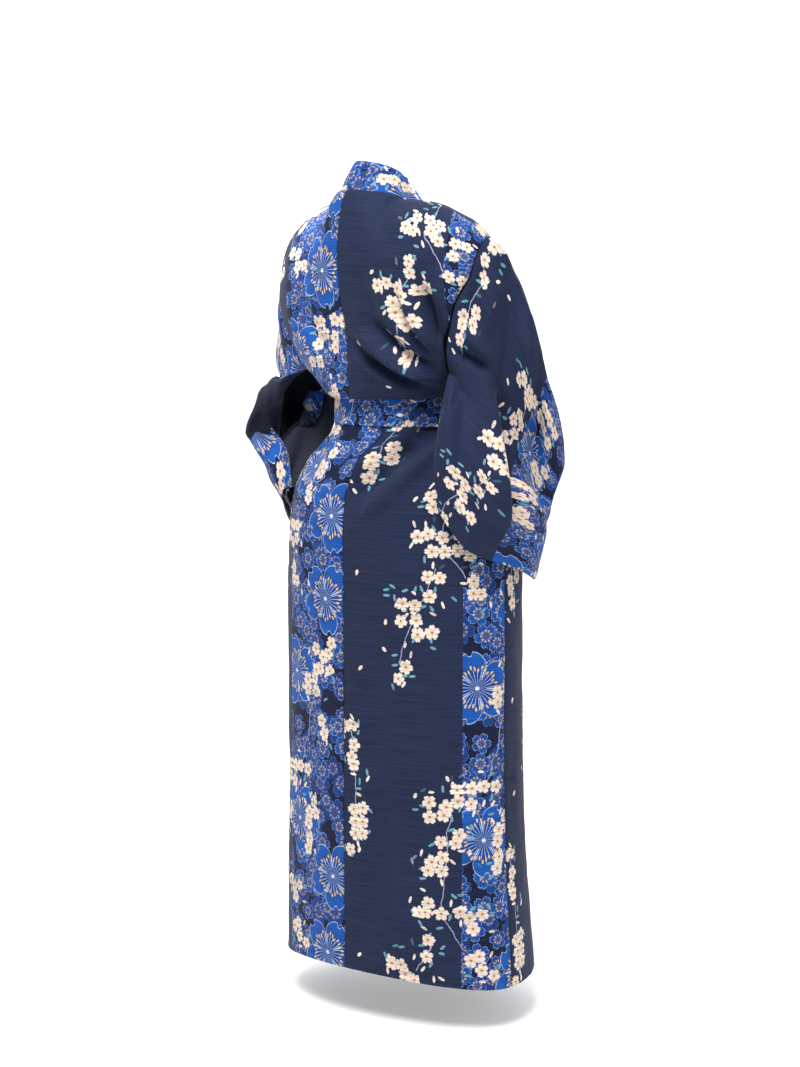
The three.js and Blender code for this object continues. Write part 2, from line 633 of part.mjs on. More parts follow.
const kimono = new THREE.Group();
kimono.position.y = -AXIS_TO_SHOULDERS;
for (const name of ['back_right', 'back_left', 'front_right', 'front_left']) {
  kimono.add(named(name, bodyPanel(name), INDIGO));
}
for (const name of ['okumi_right', 'okumi_left']) kimono.add(named(name, bodyPanel(name), BLUE));
const parts = collarParts();
const joint = NECK_SHARE / NECK_COLUMNS;
const leftParts = parts.filter((part) => part < joint - 1e-6);
const rightParts = parts.filter((part) => part > joint + 1e-6);
kimono.add(named('collar_left', collar([...leftParts, joint - JOINT_GAP]), BLUE));
kimono.add(named('collar_right', collar([joint + JOINT_GAP, ...rightParts]), BLUE));
kimono.add(named('sleeve_right', sleeve('right', SLEEVE_RIGHT, FREE_EDGE_RIGHT), INDIGO));
kimono.add(named('sleeve_left', sleeve('left', SLEEVE_LEFT, FREE_EDGE_LEFT), INDIGO));
kimono.add(named('sash', sheet(sashPoint, [0.03, 0.52, 1.02], steps(0.0005, 0.9995, 48), SASH_THICK), BLUE));
kimono.add(named('sash_knot', sashKnot(), BLUE));
kimono.add(named('sash_end_right', sashEnd(1), BLUE));
kimono.add(named('sash_end_left', sashEnd(-1), BLUE));

export default kimono;
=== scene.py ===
"""A long cotton kimono with its own sash, worn: one fine cloth piece for each sewn piece.

Sizes in the tables are millimetres in the figure's own frame, whose axis stands 42 mm in front
of the shoulder line. Finished meshes are metres in the CAD frame.
"""
import functools
import math

import bpy
import numpy as np
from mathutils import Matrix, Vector, noise


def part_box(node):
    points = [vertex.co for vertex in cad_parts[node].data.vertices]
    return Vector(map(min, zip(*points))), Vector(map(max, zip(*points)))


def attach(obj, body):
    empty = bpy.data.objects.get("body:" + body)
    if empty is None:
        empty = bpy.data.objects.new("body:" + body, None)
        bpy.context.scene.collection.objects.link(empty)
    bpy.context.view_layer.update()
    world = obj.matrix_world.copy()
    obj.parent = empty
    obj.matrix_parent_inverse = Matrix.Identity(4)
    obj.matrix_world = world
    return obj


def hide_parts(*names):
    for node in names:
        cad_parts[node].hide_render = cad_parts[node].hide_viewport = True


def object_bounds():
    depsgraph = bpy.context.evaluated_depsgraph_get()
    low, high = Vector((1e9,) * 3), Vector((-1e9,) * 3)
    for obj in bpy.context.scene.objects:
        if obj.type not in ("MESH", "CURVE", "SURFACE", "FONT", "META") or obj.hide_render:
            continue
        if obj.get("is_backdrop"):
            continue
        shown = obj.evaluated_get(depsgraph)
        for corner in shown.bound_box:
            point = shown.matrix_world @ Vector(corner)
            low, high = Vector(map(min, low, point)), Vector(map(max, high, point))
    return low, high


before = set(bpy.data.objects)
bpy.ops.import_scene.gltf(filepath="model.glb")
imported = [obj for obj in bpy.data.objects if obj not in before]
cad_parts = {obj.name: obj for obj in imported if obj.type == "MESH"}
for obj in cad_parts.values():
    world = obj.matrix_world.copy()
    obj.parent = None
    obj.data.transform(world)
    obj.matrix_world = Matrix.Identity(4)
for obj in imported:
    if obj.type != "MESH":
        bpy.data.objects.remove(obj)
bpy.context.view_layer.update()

bl_info = {
    "name": "Worn Kimono",
    "version": (1, 0, 0),
    "blender": (4, 5, 0),
    "location": "3D View > Sidebar > Kimono",
    "description": "Builds a worn cotton kimono and its sash piece by piece",
    "category": "Add Mesh",
}

# Sizes in millimetres.
AXIS_TO_SHOULDERS = 42
COLLAR_WIDTH = 54
COLLAR_THICKNESS = 2.0
SASH_WIDTH = 48
SASH_THICKNESS = 1.6
SASH_STAND_OFF = 2.6
UNDERLAP = 6
SLEEVE_DEPTH = 490
SLEEVE_RUN = 380
ARMHOLE = 245
SHOULDER_REACH = 190
SEAM_GAP = 0.25

# Places on the body as rows of the table of levels, counted from the hem up.
COLLAR_END = 5
SASH_LEVEL = 9
OPEN_FROM = 10.5
OKUMI_TIP = 15

# The share of a collar half that goes round the neck, and the fineness of the curves.
NECK_SHARE = 0.14
NECK_STEPS = 16
PIECES_IN_QUARTER = 48

# The printed bolt, in metres: its far edge, where the blue stripe starts, the width that a sleeve
# takes and the print's repeat.
BOLT_EDGE = 0.383
STRIPE_START = 0.225
SLEEVE_WIDTH = 0.36
REPEAT = 0.615

# One row for each level of the body, from the hem up, as the columns name them: the level's
# height, the twist of the figure, the depths and half widths of its ring, where the panels'
# edges lie in depth, the fall towards the edges, the pull on the centre-back seam, the lap and
# the width of the front gore, the pull on the side seams and the rise of the front's middle.
LEVEL_COLUMNS = ("z", "turn", "back", "front", "right", "left", "back_side", "front_side",
                 "drop", "shift", "lap", "okumi", "side_r", "side_l", "front_rise")
LEVELS = (
    (-1292, 0, 165, 192, 254, 213, 32, 32, 16, 0, 55, 150, 0, 0, 0),
    (-1200, 0, 166, 183, 248, 211, 32, 32, 12, 0, 62, 150, 0, 0, 0),
    (-1080, 0, 167, 168, 239, 208, 32, 32, 0, 0, 70, 150, 0, 0, 0),
    (-860, 0, 167, 159, 235, 207, 32, 32, 0, 0, 78, 150, 0, 0, 0),
    (-640, 0, 167, 157, 234, 205, 32, 32, 0, 0, 80, 150, 0, 0, 0),
    (-560, 0, 167, 155, 231, 202, 32, 32, 0, 0, 30, 100, 4, 2, 0),
    (-500, 1, 163, 148, 219, 193, 31, 31, 0, 0, 26, 88, 14, 8, 0),
    (-448, 2, 150, 134, 190, 170, 27, 27, 0, 20, 25, 76, 34, 18, 0),
    (-412, 2, 134, 119, 160, 144, 19, 19, 0, 34, 25, 70, 50, 24, 0),
    (-376, 3, 118, 106, 135, 115, 11, 11, 0, 47, 24, 66, 60, 28, 0),
    (-328, 4, 115, 103, 131, 111, 10, 10, 0, 2, 20, 60, 0, 0, 0),
    (-317, 5, 122, 105, 136, 113, 10, 10, 0, 0, 19, 58, 0, 0, -3),
    (-330, 5, 135, 110, 148, 121, 12, 8, -4, 0, 18, 56, 0, 0, 19),
    (-300, 6, 142, 119, 160, 136, 48, 6, 6, 2, 14, 46, 0, 0, 0),
    (-262, 7, 143, 122, 174, 162, 78, 2, 10, 8, 8, 26, 0, 0, 0),
    (-215, 8, 144, 117, 190, 188, 90, -6, 15, 6, -6, 3, 0, 0, 0),
    (-160, 9, 148, 98, 208, 214, 88, -8, 18, 0, -26, 0, 0, 0, 0),
    (-100, 10, 151, 58, 232, 225, 68, 8, 28, 0, -50, 0, 0, 0, 0),
)
TOP = len(LEVELS)
NECK = {"nape": 126, "nape_height": 12, "half_width": 62, "side": 58, "side_height": -3}
RIDGE_CURVE = 2.2
RIDGE_RIGHT = {"across": 251, "depth": 45, "height": -66}
RIDGE_LEFT = {"across": 241, "depth": 45, "height": -80}

# One row for each section of a sleeve from the armhole to the cuff: the fold over the arm, the
# bottom fold, the compass angle of the outer layer, its swell, its dip and the room inside.
SLEEVE_COLUMNS = ("top_x", "top_y", "top_z", "low_x", "low_y", "low_z", "facing", "belly",
                  "valley", "gap")
SLEEVE_RIGHT = (
    (-241, 86, -67, -194, 108, -476, 95, 20, 0, 30),
    (-272, 50, -140, -174, 138, -496, 105, 30, 5, 60),
    (-290, 16, -238, -218, 128, -560, 130, 28, 34, 56),
    (-293, -26, -338, -260, 14, -612, 160, 12, 46, 40),
    (-268, -84, -425, -222, -66, -652, 195, 0, 8, 44),
)
SLEEVE_LEFT = (
    (246, 4, -81, 176, 92, -490, 70, -74, 0, 30),
    (268, -6, -158, 208, 74, -510, 60, 22, 0, 60),
    (294, -16, -248, 238, 46, -512, 45, 26, 6, 60),
    (308, -42, -340, 246, -26, -620, 20, 20, 16, 56),
    (290, -118, -405, 232, -112, -690, -5, 0, 20, 56),
)
# The open body-side edge of the outer layer below the armhole: distance down, x, y and z.
EDGE_COLUMNS = ("down", "x", "y", "z")
FREE_EDGE_RIGHT = (
    (245, -186, 112, -262), (300, -176, 124, -318), (370, -166, 130, -385),
    (440, -176, 130, -440), (490, -196, 108, -478),
)
FREE_EDGE_LEFT = (
    (245, 172, 86, -262), (300, 206, 80, -305), (370, 258, 66, -368),
    (440, 196, 78, -432), (490, 178, 90, -490),
)

# The camera, in millimetres in the CAD frame. Folds are placed in its picture, 800 by 1067.
CAMERA_PLACE = np.array([-2401.0, 3031.0, -97.0])
CAMERA_TARGET = np.array([6.7, -36.8, -567.0])
CAMERA_LENS = 77.4
PICTURE_FOCUS = 2294.0
PICTURE_MIDDLE = (400.0, 533.5)

# Folds in the cloth as the camera sees them: depth in millimetres, below zero for a trough,
# half width and path in the picture.
FOLDS = {
    "back": (
        (-14, 7, ((415, 280), (426, 306), (436, 328), (446, 350))),
        (8, 7, ((401, 290), (412, 316), (424, 338), (436, 352))),
        (-10, 6, ((366, 318), (388, 342), (414, 361), (442, 372))),
        (8, 5, ((352, 324), (374, 350), (404, 371), (440, 381))),
        (-8, 5, ((348, 340), (370, 364), (400, 382), (436, 390))),
        (4, 4, ((346, 352), (366, 370), (396, 385), (430, 392))),
        (-7, 5, ((392, 288), (402, 320), (420, 347), (442, 362))),
        (3, 8, ((372, 282), (384, 312), (404, 338))),
        (-3, 9, ((352, 262), (362, 292), (380, 320))),
        (-4, 7, ((298, 304), (312, 330), (328, 356))),
        (3, 7, ((288, 300), (303, 334), (318, 364))),
        (-3, 5, ((322, 366), (340, 380), (362, 390))),
        (-3, 12, ((452, 226), (446, 250), (436, 276))),
        (3, 12, ((432, 222), (426, 248), (420, 270))),
        (-2, 10, ((308, 232), (304, 262), (306, 292))),
        (-2.5, 14, ((370, 205), (384, 232), (390, 262))),
    ),
    "skirt": (
        (-8, 9, ((343, 506), (372, 482), (402, 455), (434, 428))),
        (6, 8, ((352, 528), (382, 500), (414, 470), (440, 444))),
        (5, 7, ((340, 486), (364, 464), (392, 444), (414, 430))),
        (-3, 5, ((352, 428), (348, 446), (336, 470))),
        (-2.5, 4, ((376, 428), (380, 446), (382, 468))),
        (2.5, 4, ((366, 428), (366, 448), (360, 474))),
        (-2.5, 4, ((404, 428), (412, 446), (418, 462))),
        (-3, 5, ((330, 430), (318, 456), (306, 486))),
        (-1.6, 1.8, ((344, 792), (380, 794), (420, 798), (460, 801))),
        (1.2, 2.2, ((344, 797), (380, 799), (420, 803), (460, 806))),
        (-1.5, 2, ((300, 788), (318, 791), (336, 793))),
        (-2, 14, ((468, 580), (470, 700), (472, 860), (474, 960))),
        (2, 14, ((430, 600), (428, 720), (430, 860), (432, 960))),
        (-2, 16, ((385, 620), (382, 740), (384, 880), (386, 965))),
        (-2, 12, ((312, 560), (308, 680), (308, 820), (310, 940))),
        (-2, 3, ((496, 776), (506, 779), (518, 779))),
    ),
    "sleeve_right": (
        (-15, 7, ((500, 384), (504, 424), (509, 462), (517, 502), (519, 536))),
        (9, 8, ((484, 372), (492, 412), (500, 454), (507, 500), (508, 540))),
        (-9, 6, ((452, 350), (464, 356), (478, 362), (490, 372))),
        (5, 6, ((462, 330), (472, 340), (484, 352), (494, 368))),
        (-5, 7, ((486, 256), (478, 286), (468, 312), (458, 338))),
        (4, 8, ((500, 268), (494, 298), (486, 326), (476, 350))),
        (-4, 8, ((514, 292), (510, 326), (506, 360), (500, 392))),
        (5, 8, ((528, 320), (528, 356), (524, 394), (516, 430))),
        (-5, 7, ((540, 360), (542, 394), (538, 430), (530, 462))),
        (4, 6, ((548, 398), (548, 430), (542, 466))),
        (-4, 9, ((470, 380), (462, 420), (458, 462), (462, 498))),
        (4, 10, ((452, 400), (446, 440), (446, 480))),
        (-4, 8, ((486, 470), (480, 505), (484, 540))),
    ),
    "sleeve_left_inside": (
        (13, 13, ((301, 368), (306, 388), (306, 408), (300, 432))),
    ),
    "sleeve_left": (
        (-6, 6, ((284, 360), (276, 388), (270, 420), (276, 452))),
        (6, 6, ((294, 380), (288, 410), (284, 440), (290, 480))),
        (-5, 6, ((268, 380), (262, 410), (268, 444))),
        (5, 7, ((274, 440), (276, 466), (284, 490))),
    ),
}
# A trough has a narrow crease in it: its share of the depth and of the width.
CREASE_SHARE = 0.2
CREASE_WIDTH = 0.55
# Along a seam the cloth is drawn in: how far in millimetres, and over how many metres.
SEAM_DIP = 1.1
SEAM_REACH = 0.004


class KimonoSettings(bpy.types.PropertyGroup):
    """How the cloth is made."""

    thickness: bpy.props.FloatProperty(
        name="Cloth thickness", description="Thickness of one layer of cloth",
        default=0.0008, min=0.0004, max=0.003, unit="LENGTH", precision=5)
    net: bpy.props.FloatProperty(
        name="Net size", description="Distance between the points of the cloth",
        default=0.0055, min=0.003, max=0.03, unit="LENGTH", precision=4)
    folds: bpy.props.FloatProperty(
        name="Folds", description="Strength of the folds in the cloth",
        default=2.1, min=0.0, max=3.0, subtype="FACTOR")
    unevenness: bpy.props.FloatProperty(
        name="Unevenness", description="Height of the soft waves all over the cloth",
        default=0.0022, min=0.0, max=0.01, unit="LENGTH", precision=4)


def linear(red, green, blue):
    """A colour for the shader from its 0 to 255 values as seen on a screen."""
    def channel(value):
        value /= 255
        return value / 12.92 if value <= 0.04045 else ((value + 0.055) / 1.055) ** 2.4
    return (channel(red), channel(green), channel(blue), 1.0)


def ink(name, description, *seen):
    """A colour setting, from its 0 to 255 values as seen on a screen."""
    return bpy.props.FloatVectorProperty(
        name=name, description=description, default=linear(*seen), size=4, min=0.0, max=1.0,
        subtype="COLOR")


class PrintColors(bpy.types.PropertyGroup):
    """The colours of the cloth."""

    navy: ink("Ground", "The wide dark band", 28, 38, 66)
    gap: ink("Gaps", "The ground between the stripe's blossoms", 12, 22, 52)
    deep: ink("Deep blue", "The darker blossoms of the stripe", 14, 50, 118)
    bright: ink("Bright blue", "The lighter blossoms of the stripe", 22, 92, 178)
    outline: ink("Outline", "The pale lines of the blue blossoms", 205, 218, 240)
    gold: ink("Gold", "Stamens and the warm middles", 222, 188, 112)
    cream: ink("Cream", "The blossoms of the sprays", 226, 211, 198)
    mauve: ink("Mauve", "The lines of the cream blossoms", 150, 112, 138)
    teal: ink("Teal", "Leaves", 100, 150, 165)
    lilac: ink("Lilac", "Stems", 176, 172, 204)
    reverse: ink("Reverse", "The plain back of the cloth", 38, 42, 56)


class StageSettings(bpy.types.PropertyGroup):
    """How the kimono is lit and seen."""

    key_power: bpy.props.FloatProperty(
        name="Key light", description="Power of the large soft light",
        default=150.0, min=0.0, unit="POWER")
    fill_power: bpy.props.FloatProperty(
        name="Fill light", description="Power of the light from the other side",
        default=12.0, min=0.0, unit="POWER")
    floor_drop: bpy.props.FloatProperty(
        name="Floor below hem", description="How far the hem hangs above the floor",
        default=0.07, min=0.0, max=0.5, unit="LENGTH")


def table(columns, rows):
    """Returns a table's columns by name."""
    return {name: np.array([row[i] for row in rows], float) for i, name in enumerate(columns)}


BODY = table(LEVEL_COLUMNS, LEVELS)


def smooth(low, high, value):
    """Rises softly from 0 at low to 1 at high."""
    t = np.clip((np.asarray(value, float) - low) / (high - low), 0, 1)
    return t * t * (3 - 2 * t)


def read(values, at):
    """Reads a column between its rows, without swinging past the rows' own values."""
    last = len(values) - 1
    at = min(max(at, 0), last)
    index = min(int(at), last - 1)
    t = at - index

    def slope(row):
        before = values[row] - values[max(row - 1, 0)]
        after = values[min(row + 1, last)] - values[row]
        return 0 if before * after <= 0 else 2 * before * after / (before + after)

    start, end = values[index], values[index + 1]
    square, cube = t * t, t * t * t
    return (start * (2 * cube - 3 * square + 1) + end * (3 * square - 2 * cube)
            + slope(index) * (cube - 2 * square + t) + slope(index + 1) * (cube - square))


def turned(points, degrees):
    """Turns points about the upright axis, clockwise seen from above."""
    angle = math.radians(degrees)
    x, y, z = np.moveaxis(np.asarray(points, float), -1, 0)
    return np.stack([x * math.cos(angle) + y * math.sin(angle),
                     y * math.cos(angle) - x * math.sin(angle), z], axis=-1)


def measured(points):
    """Returns a line's points and the running length at each."""
    gaps = np.linalg.norm(np.diff(points, axis=0), axis=1)
    return points, np.concatenate([[0], np.cumsum(gaps)])


def along(line, distance):
    """Places on a measured line, carried on straight past its ends."""
    points, lengths = line
    distance = np.atleast_1d(np.asarray(distance, float))
    index = np.clip(np.searchsorted(lengths, distance), 1, len(lengths) - 1)
    share = (distance - lengths[index - 1]) / np.maximum(lengths[index] - lengths[index - 1], 1e-6)
    return points[index - 1] + (points[index] - points[index - 1]) * share[:, None]


def half_ring(at, is_front):
    """One level's back line from the left edge, or its front line from the right edge."""
    value = {name: read(column, at) for name, column in BODY.items()}
    angle = np.linspace(0, math.pi / 2, PIECES_IN_QUARTER + 1)
    depth_side = value["front_side"] if is_front else value["back_side"]
    narrower = (value["back_side"] - value["front_side"]) * 0.18 if is_front else 0
    reach = (-value["front"] if is_front else value["back"]) - depth_side
    rise = value["front_rise"] if is_front else 0
    first, second = ("right", "left") if is_front else ("left", "right")
    parts = []
    for name, across in ((first, np.sin(angle[::-1])), (second, np.sin(angle))):
        sign = -1 if name == "right" else 1
        height = value["z"] + rise * (1 - across ** 2) - value["drop"] * across ** 2
        depth = depth_side + reach * np.sqrt(np.maximum(1 - across ** 2, 0))
        parts.append(np.stack([sign * (value[name] - narrower) * across, depth, height], axis=-1))
    return measured(turned(np.concatenate([parts[0][:-1], parts[1]]), value["turn"])), value


@functools.cache
def level(at):
    """The back and front lines of a level and the values of its row, kept once found."""
    back, value = half_ring(at, False)
    front, value = half_ring(at, True)
    return back, front, value


def top_line(sign, is_back):
    """The top edge of a back panel round the neck and along the shoulder, or of a front panel."""
    end = RIDGE_RIGHT if sign < 0 else RIDGE_LEFT
    points = []
    if is_back:
        for angle in np.linspace(0, math.pi / 2, NECK_STEPS, endpoint=False):
            lift = (NECK["nape_height"] - NECK["side_height"]) * math.cos(angle) ** 0.6
            depth = NECK["side"] + (NECK["nape"] - NECK["side"]) * math.cos(angle)
            points.append((sign * NECK["half_width"] * math.sin(angle), depth,
                           NECK["side_height"] + lift))
    for share in np.linspace(0, 1, NECK_STEPS + 1):
        across = NECK["half_width"] + (end["across"] - NECK["half_width"]) * share
        depth = NECK["side"] + (end["depth"] - NECK["side"]) * share
        height = NECK["side_height"] + (end["height"] - NECK["side_height"]) * share ** RIDGE_CURVE
        points.append((sign * across, depth, height))
    if not is_back:
        points.reverse()
    return measured(turned(points, read(BODY["turn"], TOP)))


TOP_LINES = {(side, is_front): top_line(sign, not is_front)
             for side, sign in (("right", -1), ("left", 1)) for is_front in (False, True)}
NECK_LENGTH = TOP_LINES["right", False][1][NECK_STEPS]


def seams(at):
    """Where the seams of a level lie, as distances along its back and front lines."""
    back, front, value = level(at)
    middle_back = back[1][PIECES_IN_QUARTER]
    middle_front = front[1][PIECES_IN_QUARTER]
    return {
        "centre": middle_back + value["shift"],
        "lap_right": middle_front + value["lap"],
        "lap_left": middle_front - value["lap"],
        "okumi_right": middle_front + value["lap"] - value["okumi"],
        "okumi_left": middle_front - value["lap"] + value["okumi"],
        "side_right": value["side_r"],
        "side_left": value["side_l"],
        "back_length": back[1][-1],
        "front_length": front[1][-1],
    }


def under(at, distance):
    """How far the lower layer of the wrap lies under the upper one."""
    _, front, value = level(at)
    start = front[1][PIECES_IN_QUARTER] - value["lap"] - COLLAR_WIDTH - 70
    return UNDERLAP * smooth(start, start + 55, distance)


def ring_points(at, is_front, distance, sink=0.0):
    """Places on a level at distances along its back or front line, sunk inwards."""
    line = level(at)[1 if is_front else 0]
    points = along(line, distance)
    ahead = along(line, np.asarray(distance) + 1) - along(line, np.asarray(distance) - 1)
    ahead /= np.linalg.norm(ahead, axis=1)[:, None]
    inward = np.stack([-ahead[:, 1], ahead[:, 0], np.zeros(len(ahead))], axis=-1)
    return points + inward * np.reshape(sink, (-1, 1))


# Each body panel: its side, whether it is at the front, its top row, its two seams from first to
# second, where its bolt starts, whether the bolt runs from the second seam, and how far along the
# repeat its hem lies.
PANELS = {
    "back_right": ("right", False, TOP, lambda s: s["centre"],
                   lambda s: s["back_length"] + s["side_right"], 0.010, False, 0.0),
    "back_left": ("left", False, TOP, lambda s: -s["side_left"],
                  lambda s: s["centre"], BOLT_EDGE, True, 0.0),
    "front_right": ("right", True, TOP, lambda s: s["side_right"],
                    lambda s: s["okumi_right"], 0.015, False, 0.21),
    "front_left": ("left", True, TOP, lambda s: s["okumi_left"],
                   lambda s: s["front_length"] - s["side_left"], BOLT_EDGE, True, 0.37),
    "okumi_right": ("right", True, OKUMI_TIP, lambda s: s["okumi_right"],
                    lambda s: s["lap_right"], 0.232, False, 0.12),
    "okumi_left": ("left", True, OKUMI_TIP, lambda s: s["lap_left"],
                   lambda s: s["okumi_left"], 0.232, False, 0.47),
}


def body_row(name, across, at):
    """A row of a body panel's places: across is 0 to 1 from its first seam to its second."""
    side, is_front, _, first, second = PANELS[name][:5]
    low = min(at, TOP - 1)
    seam = seams(low)
    start = first(seam)
    distance = start + (second(seam) - start) * across
    sink = under(low, distance) if is_front and side == "right" else 0.0
    points = ring_points(low, is_front, distance, sink)
    if low < OPEN_FROM:
        length = seam["front_length"] if is_front else seam["back_length"]
        other = seam["back_length"] if is_front else seam["front_length"]
        past, before = distance > length, distance < 0
        if past.any():
            points[past] = ring_points(low, not is_front, distance[past] - length)
        if before.any():
            points[before] = ring_points(low, not is_front, other + distance[before])
    if at <= TOP - 1:
        return points
    t = min(at - (TOP - 1), 1)
    line = TOP_LINES[side, is_front]
    share = across if side == "right" else 1 - across
    goal = along(line, line[1][-1] * share)
    bend = np.array([t, 1 - math.cos(t * math.pi / 2), math.sin(t * math.pi / 2)])
    return points + (goal - points) * bend


def body_rows(name, net):
    """The rows of a panel's net, about a net size apart."""
    is_front, top = PANELS[name][1:3]
    inside_panel = [100.0]
    rows = []
    for index in range(top):
        if index == TOP - 1:
            length = SHOULDER_REACH
        else:
            upper = ring_points(index + 1, is_front, inside_panel)
            length = np.linalg.norm(upper - ring_points(index, is_front, inside_panel))
        count = max(int(round(length / net)), 3)
        rows += [index + i / count for i in range(count)]
    return rows + [top - 0.004 if top == TOP else top]


def picture(points):
    """Where points of the CAD frame lie in the camera's picture."""
    ahead = CAMERA_TARGET - CAMERA_PLACE
    ahead = ahead / np.linalg.norm(ahead)
    right = np.cross(ahead, [0, 0, 1])
    right /= np.linalg.norm(right)
    up = np.cross(right, ahead)
    away = points - CAMERA_PLACE
    deep = away @ ahead
    return np.stack([PICTURE_MIDDLE[0] + PICTURE_FOCUS * (away @ right) / deep,
                     PICTURE_MIDDLE[1] - PICTURE_FOCUS * (away @ up) / deep], axis=-1)


def rounded(path):
    """A path with its corners cut twice."""
    path = np.array(path, float)
    for _ in range(2):
        quarter = path[:-1] * 0.75 + path[1:] * 0.25
        late = path[:-1] * 0.25 + path[1:] * 0.75
        inner = np.stack([quarter, late], axis=1).reshape(-1, 2)
        path = np.concatenate([path[:1], inner[1:-1], path[-1:]])
    return path


def fold_height(places, group):
    """How far the folds of a group lift or sink the cloth at places in the picture."""
    total = np.zeros(len(places))
    for depth, width, path in FOLDS.get(group, ()):
        path = rounded(path)
        lengths = np.concatenate([[0], np.cumsum(np.linalg.norm(np.diff(path, axis=0), axis=1))])
        nearest = np.full(len(places), 1e9)
        run = np.zeros(len(places))
        for i in range(len(path) - 1):
            way = path[i + 1] - path[i]
            share = np.clip((places - path[i]) @ way / (way @ way), 0, 1)
            far = np.linalg.norm(places - path[i] - share[:, None] * way, axis=1)
            closer = far < nearest
            nearest[closer] = far[closer]
            run[closer] = (lengths[i] + share * np.linalg.norm(way))[closer]
        whole = lengths[-1]
        ends = smooth(0, 0.3 * whole, run) * smooth(0, 0.3 * whole, whole - run) * 0.8 + 0.2
        sharp = CREASE_SHARE if depth < 0 else 0.0
        across = (1 - sharp) * np.exp(-(nearest / width) ** 2)
        across += sharp * np.exp(-(nearest / (CREASE_WIDTH * width)) ** 2)
        total += depth * ends * across
    return total


def waves(points, size, stretch):
    """Soft uneven waves, longer upright than across."""
    places = points / [size, size, size * stretch]
    return np.array([noise.noise(Vector(place)) for place in places])


def net_normals(net):
    """The outward direction at each point of a net of rows and columns."""
    down = np.gradient(net, axis=0)
    across = np.gradient(net, axis=1)
    normals = np.cross(across, down)
    return normals / np.maximum(np.linalg.norm(normals, axis=2), 1e-9)[:, :, None]


def shell(name, outside, place, edge, thickness, hem=None):
    """Builds a closed cloth wall from its outside net, and gives it its cloth places."""
    rows, columns = outside.shape[:2]
    within = outside - net_normals(outside) * thickness
    points = np.concatenate([outside.reshape(-1, 3), within.reshape(-1, 3)]) / 1000
    grid = np.arange(rows * columns).reshape(rows, columns)
    a, b, c, d = grid[:-1, :-1], grid[:-1, 1:], grid[1:, 1:], grid[1:, :-1]
    front = np.stack([a, b, c, d], axis=-1).reshape(-1, 4)
    under_side = np.stack([a, d, c, b], axis=-1).reshape(-1, 4) + rows * columns
    rim = []
    inside = rows * columns
    for line in (grid[0, ::-1], grid[-1, :], grid[:, 0], grid[::-1, -1]):
        rim.append(np.stack([line[:-1], line[1:], line[1:] + inside, line[:-1] + inside], axis=-1))
    faces = np.concatenate([front, under_side, *rim])
    mesh = bpy.data.meshes.new(name)
    mesh.from_pydata(points.tolist(), [], faces.tolist())
    mesh.materials.append(print_material())
    mesh.materials.append(reverse_material())
    slots = np.zeros(len(faces), dtype=np.int32)
    slots[len(front):2 * len(front)] = 1
    mesh.polygons.foreach_set("material_index", slots)
    corners = np.zeros(len(mesh.loops), dtype=np.int32)
    mesh.loops.foreach_get("vertex_index", corners)
    both = np.concatenate([place.reshape(-1, 2), place.reshape(-1, 2)])
    mesh.uv_layers.new(name="cloth").data.foreach_set("uv", both[corners].ravel())
    hem = np.ones(edge.shape) if hem is None else hem
    for label, values in (("edge", edge), ("hem", hem)):
        held = mesh.attributes.new(label, "FLOAT", "POINT")
        held.data.foreach_set("value", np.concatenate([values.ravel(), values.ravel()]))
    mesh.shade_smooth()
    mesh.set_sharp_from_angle(angle=math.radians(60))
    mesh.validate()
    piece = bpy.data.objects.new(name, mesh)
    bpy.context.collection.objects.link(piece)
    return piece


def cloth_piece(name, node, net, place, edge, groups, settings, thickness=None, waviness=1.0,
                hem=None):
    """Folds a net of places, makes its shell and ties it to the frame."""
    normals = net_normals(net)
    flat = net.reshape(-1, 3)
    seen = picture(flat)
    height = sum(fold_height(seen, group) * mask.ravel() for group, mask in groups)
    lift = settings.folds * height + 1000 * settings.unevenness * waviness * (
        waves(flat, 60, 2.6) + 0.5 * waves(flat + 500, 24, 2.0))
    lift = lift - SEAM_DIP * np.exp(-(edge.ravel() / SEAM_REACH) ** 2)
    net = net + normals * lift.reshape(edge.shape)[:, :, None]
    thick = 1000 * settings.thickness if thickness is None else thickness
    piece = shell(name, net, place, edge, thick, hem)
    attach(piece, "root")
    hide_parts(node)
    return piece


def running(net, axis):
    """Running length in metres along a net's rows or columns."""
    gaps = np.linalg.norm(np.diff(net, axis=axis), axis=2) / 1000
    start = np.zeros_like(np.take(gaps, [0], axis=axis))
    return np.concatenate([start, np.cumsum(gaps, axis=axis)], axis=axis)


def body_panel(name, settings):
    """Builds one body panel, its print running up the cloth and across its bolt."""
    is_front = PANELS[name][1]
    bolt, reverse, start = PANELS[name][5:]
    size = 1000 * settings.net
    width = np.linalg.norm(np.diff(body_row(name, np.array([0.0, 1.0]), 5), axis=0))
    count = max(int(width / size), 12)
    trim = SEAM_GAP / width
    shares = np.linspace(trim, 1 - trim, count + 1)
    net = np.array([body_row(name, shares, at) for at in body_rows(name, size)])
    net[:, :, 1] -= AXIS_TO_SHOULDERS
    across = running(net, 1)
    widths = across[:, -1:]
    up = np.repeat(running(net, 0).mean(axis=1, keepdims=True), count + 1, axis=1)
    bolts = bolt - (widths - across) if reverse else bolt + across
    place = np.stack([bolts, up + start], axis=-1)
    edge = np.minimum(across, widths - across)
    visible = np.full(edge.shape, 0.0 if is_front and not name.startswith("front_right") else 1.0)
    upper = smooth(-335, -322, net[:, :, 2])
    groups = [("back", visible * upper), ("skirt", visible * (1 - upper))]
    return cloth_piece("cloth_" + name, name, net, place, edge, groups, settings, hem=up)


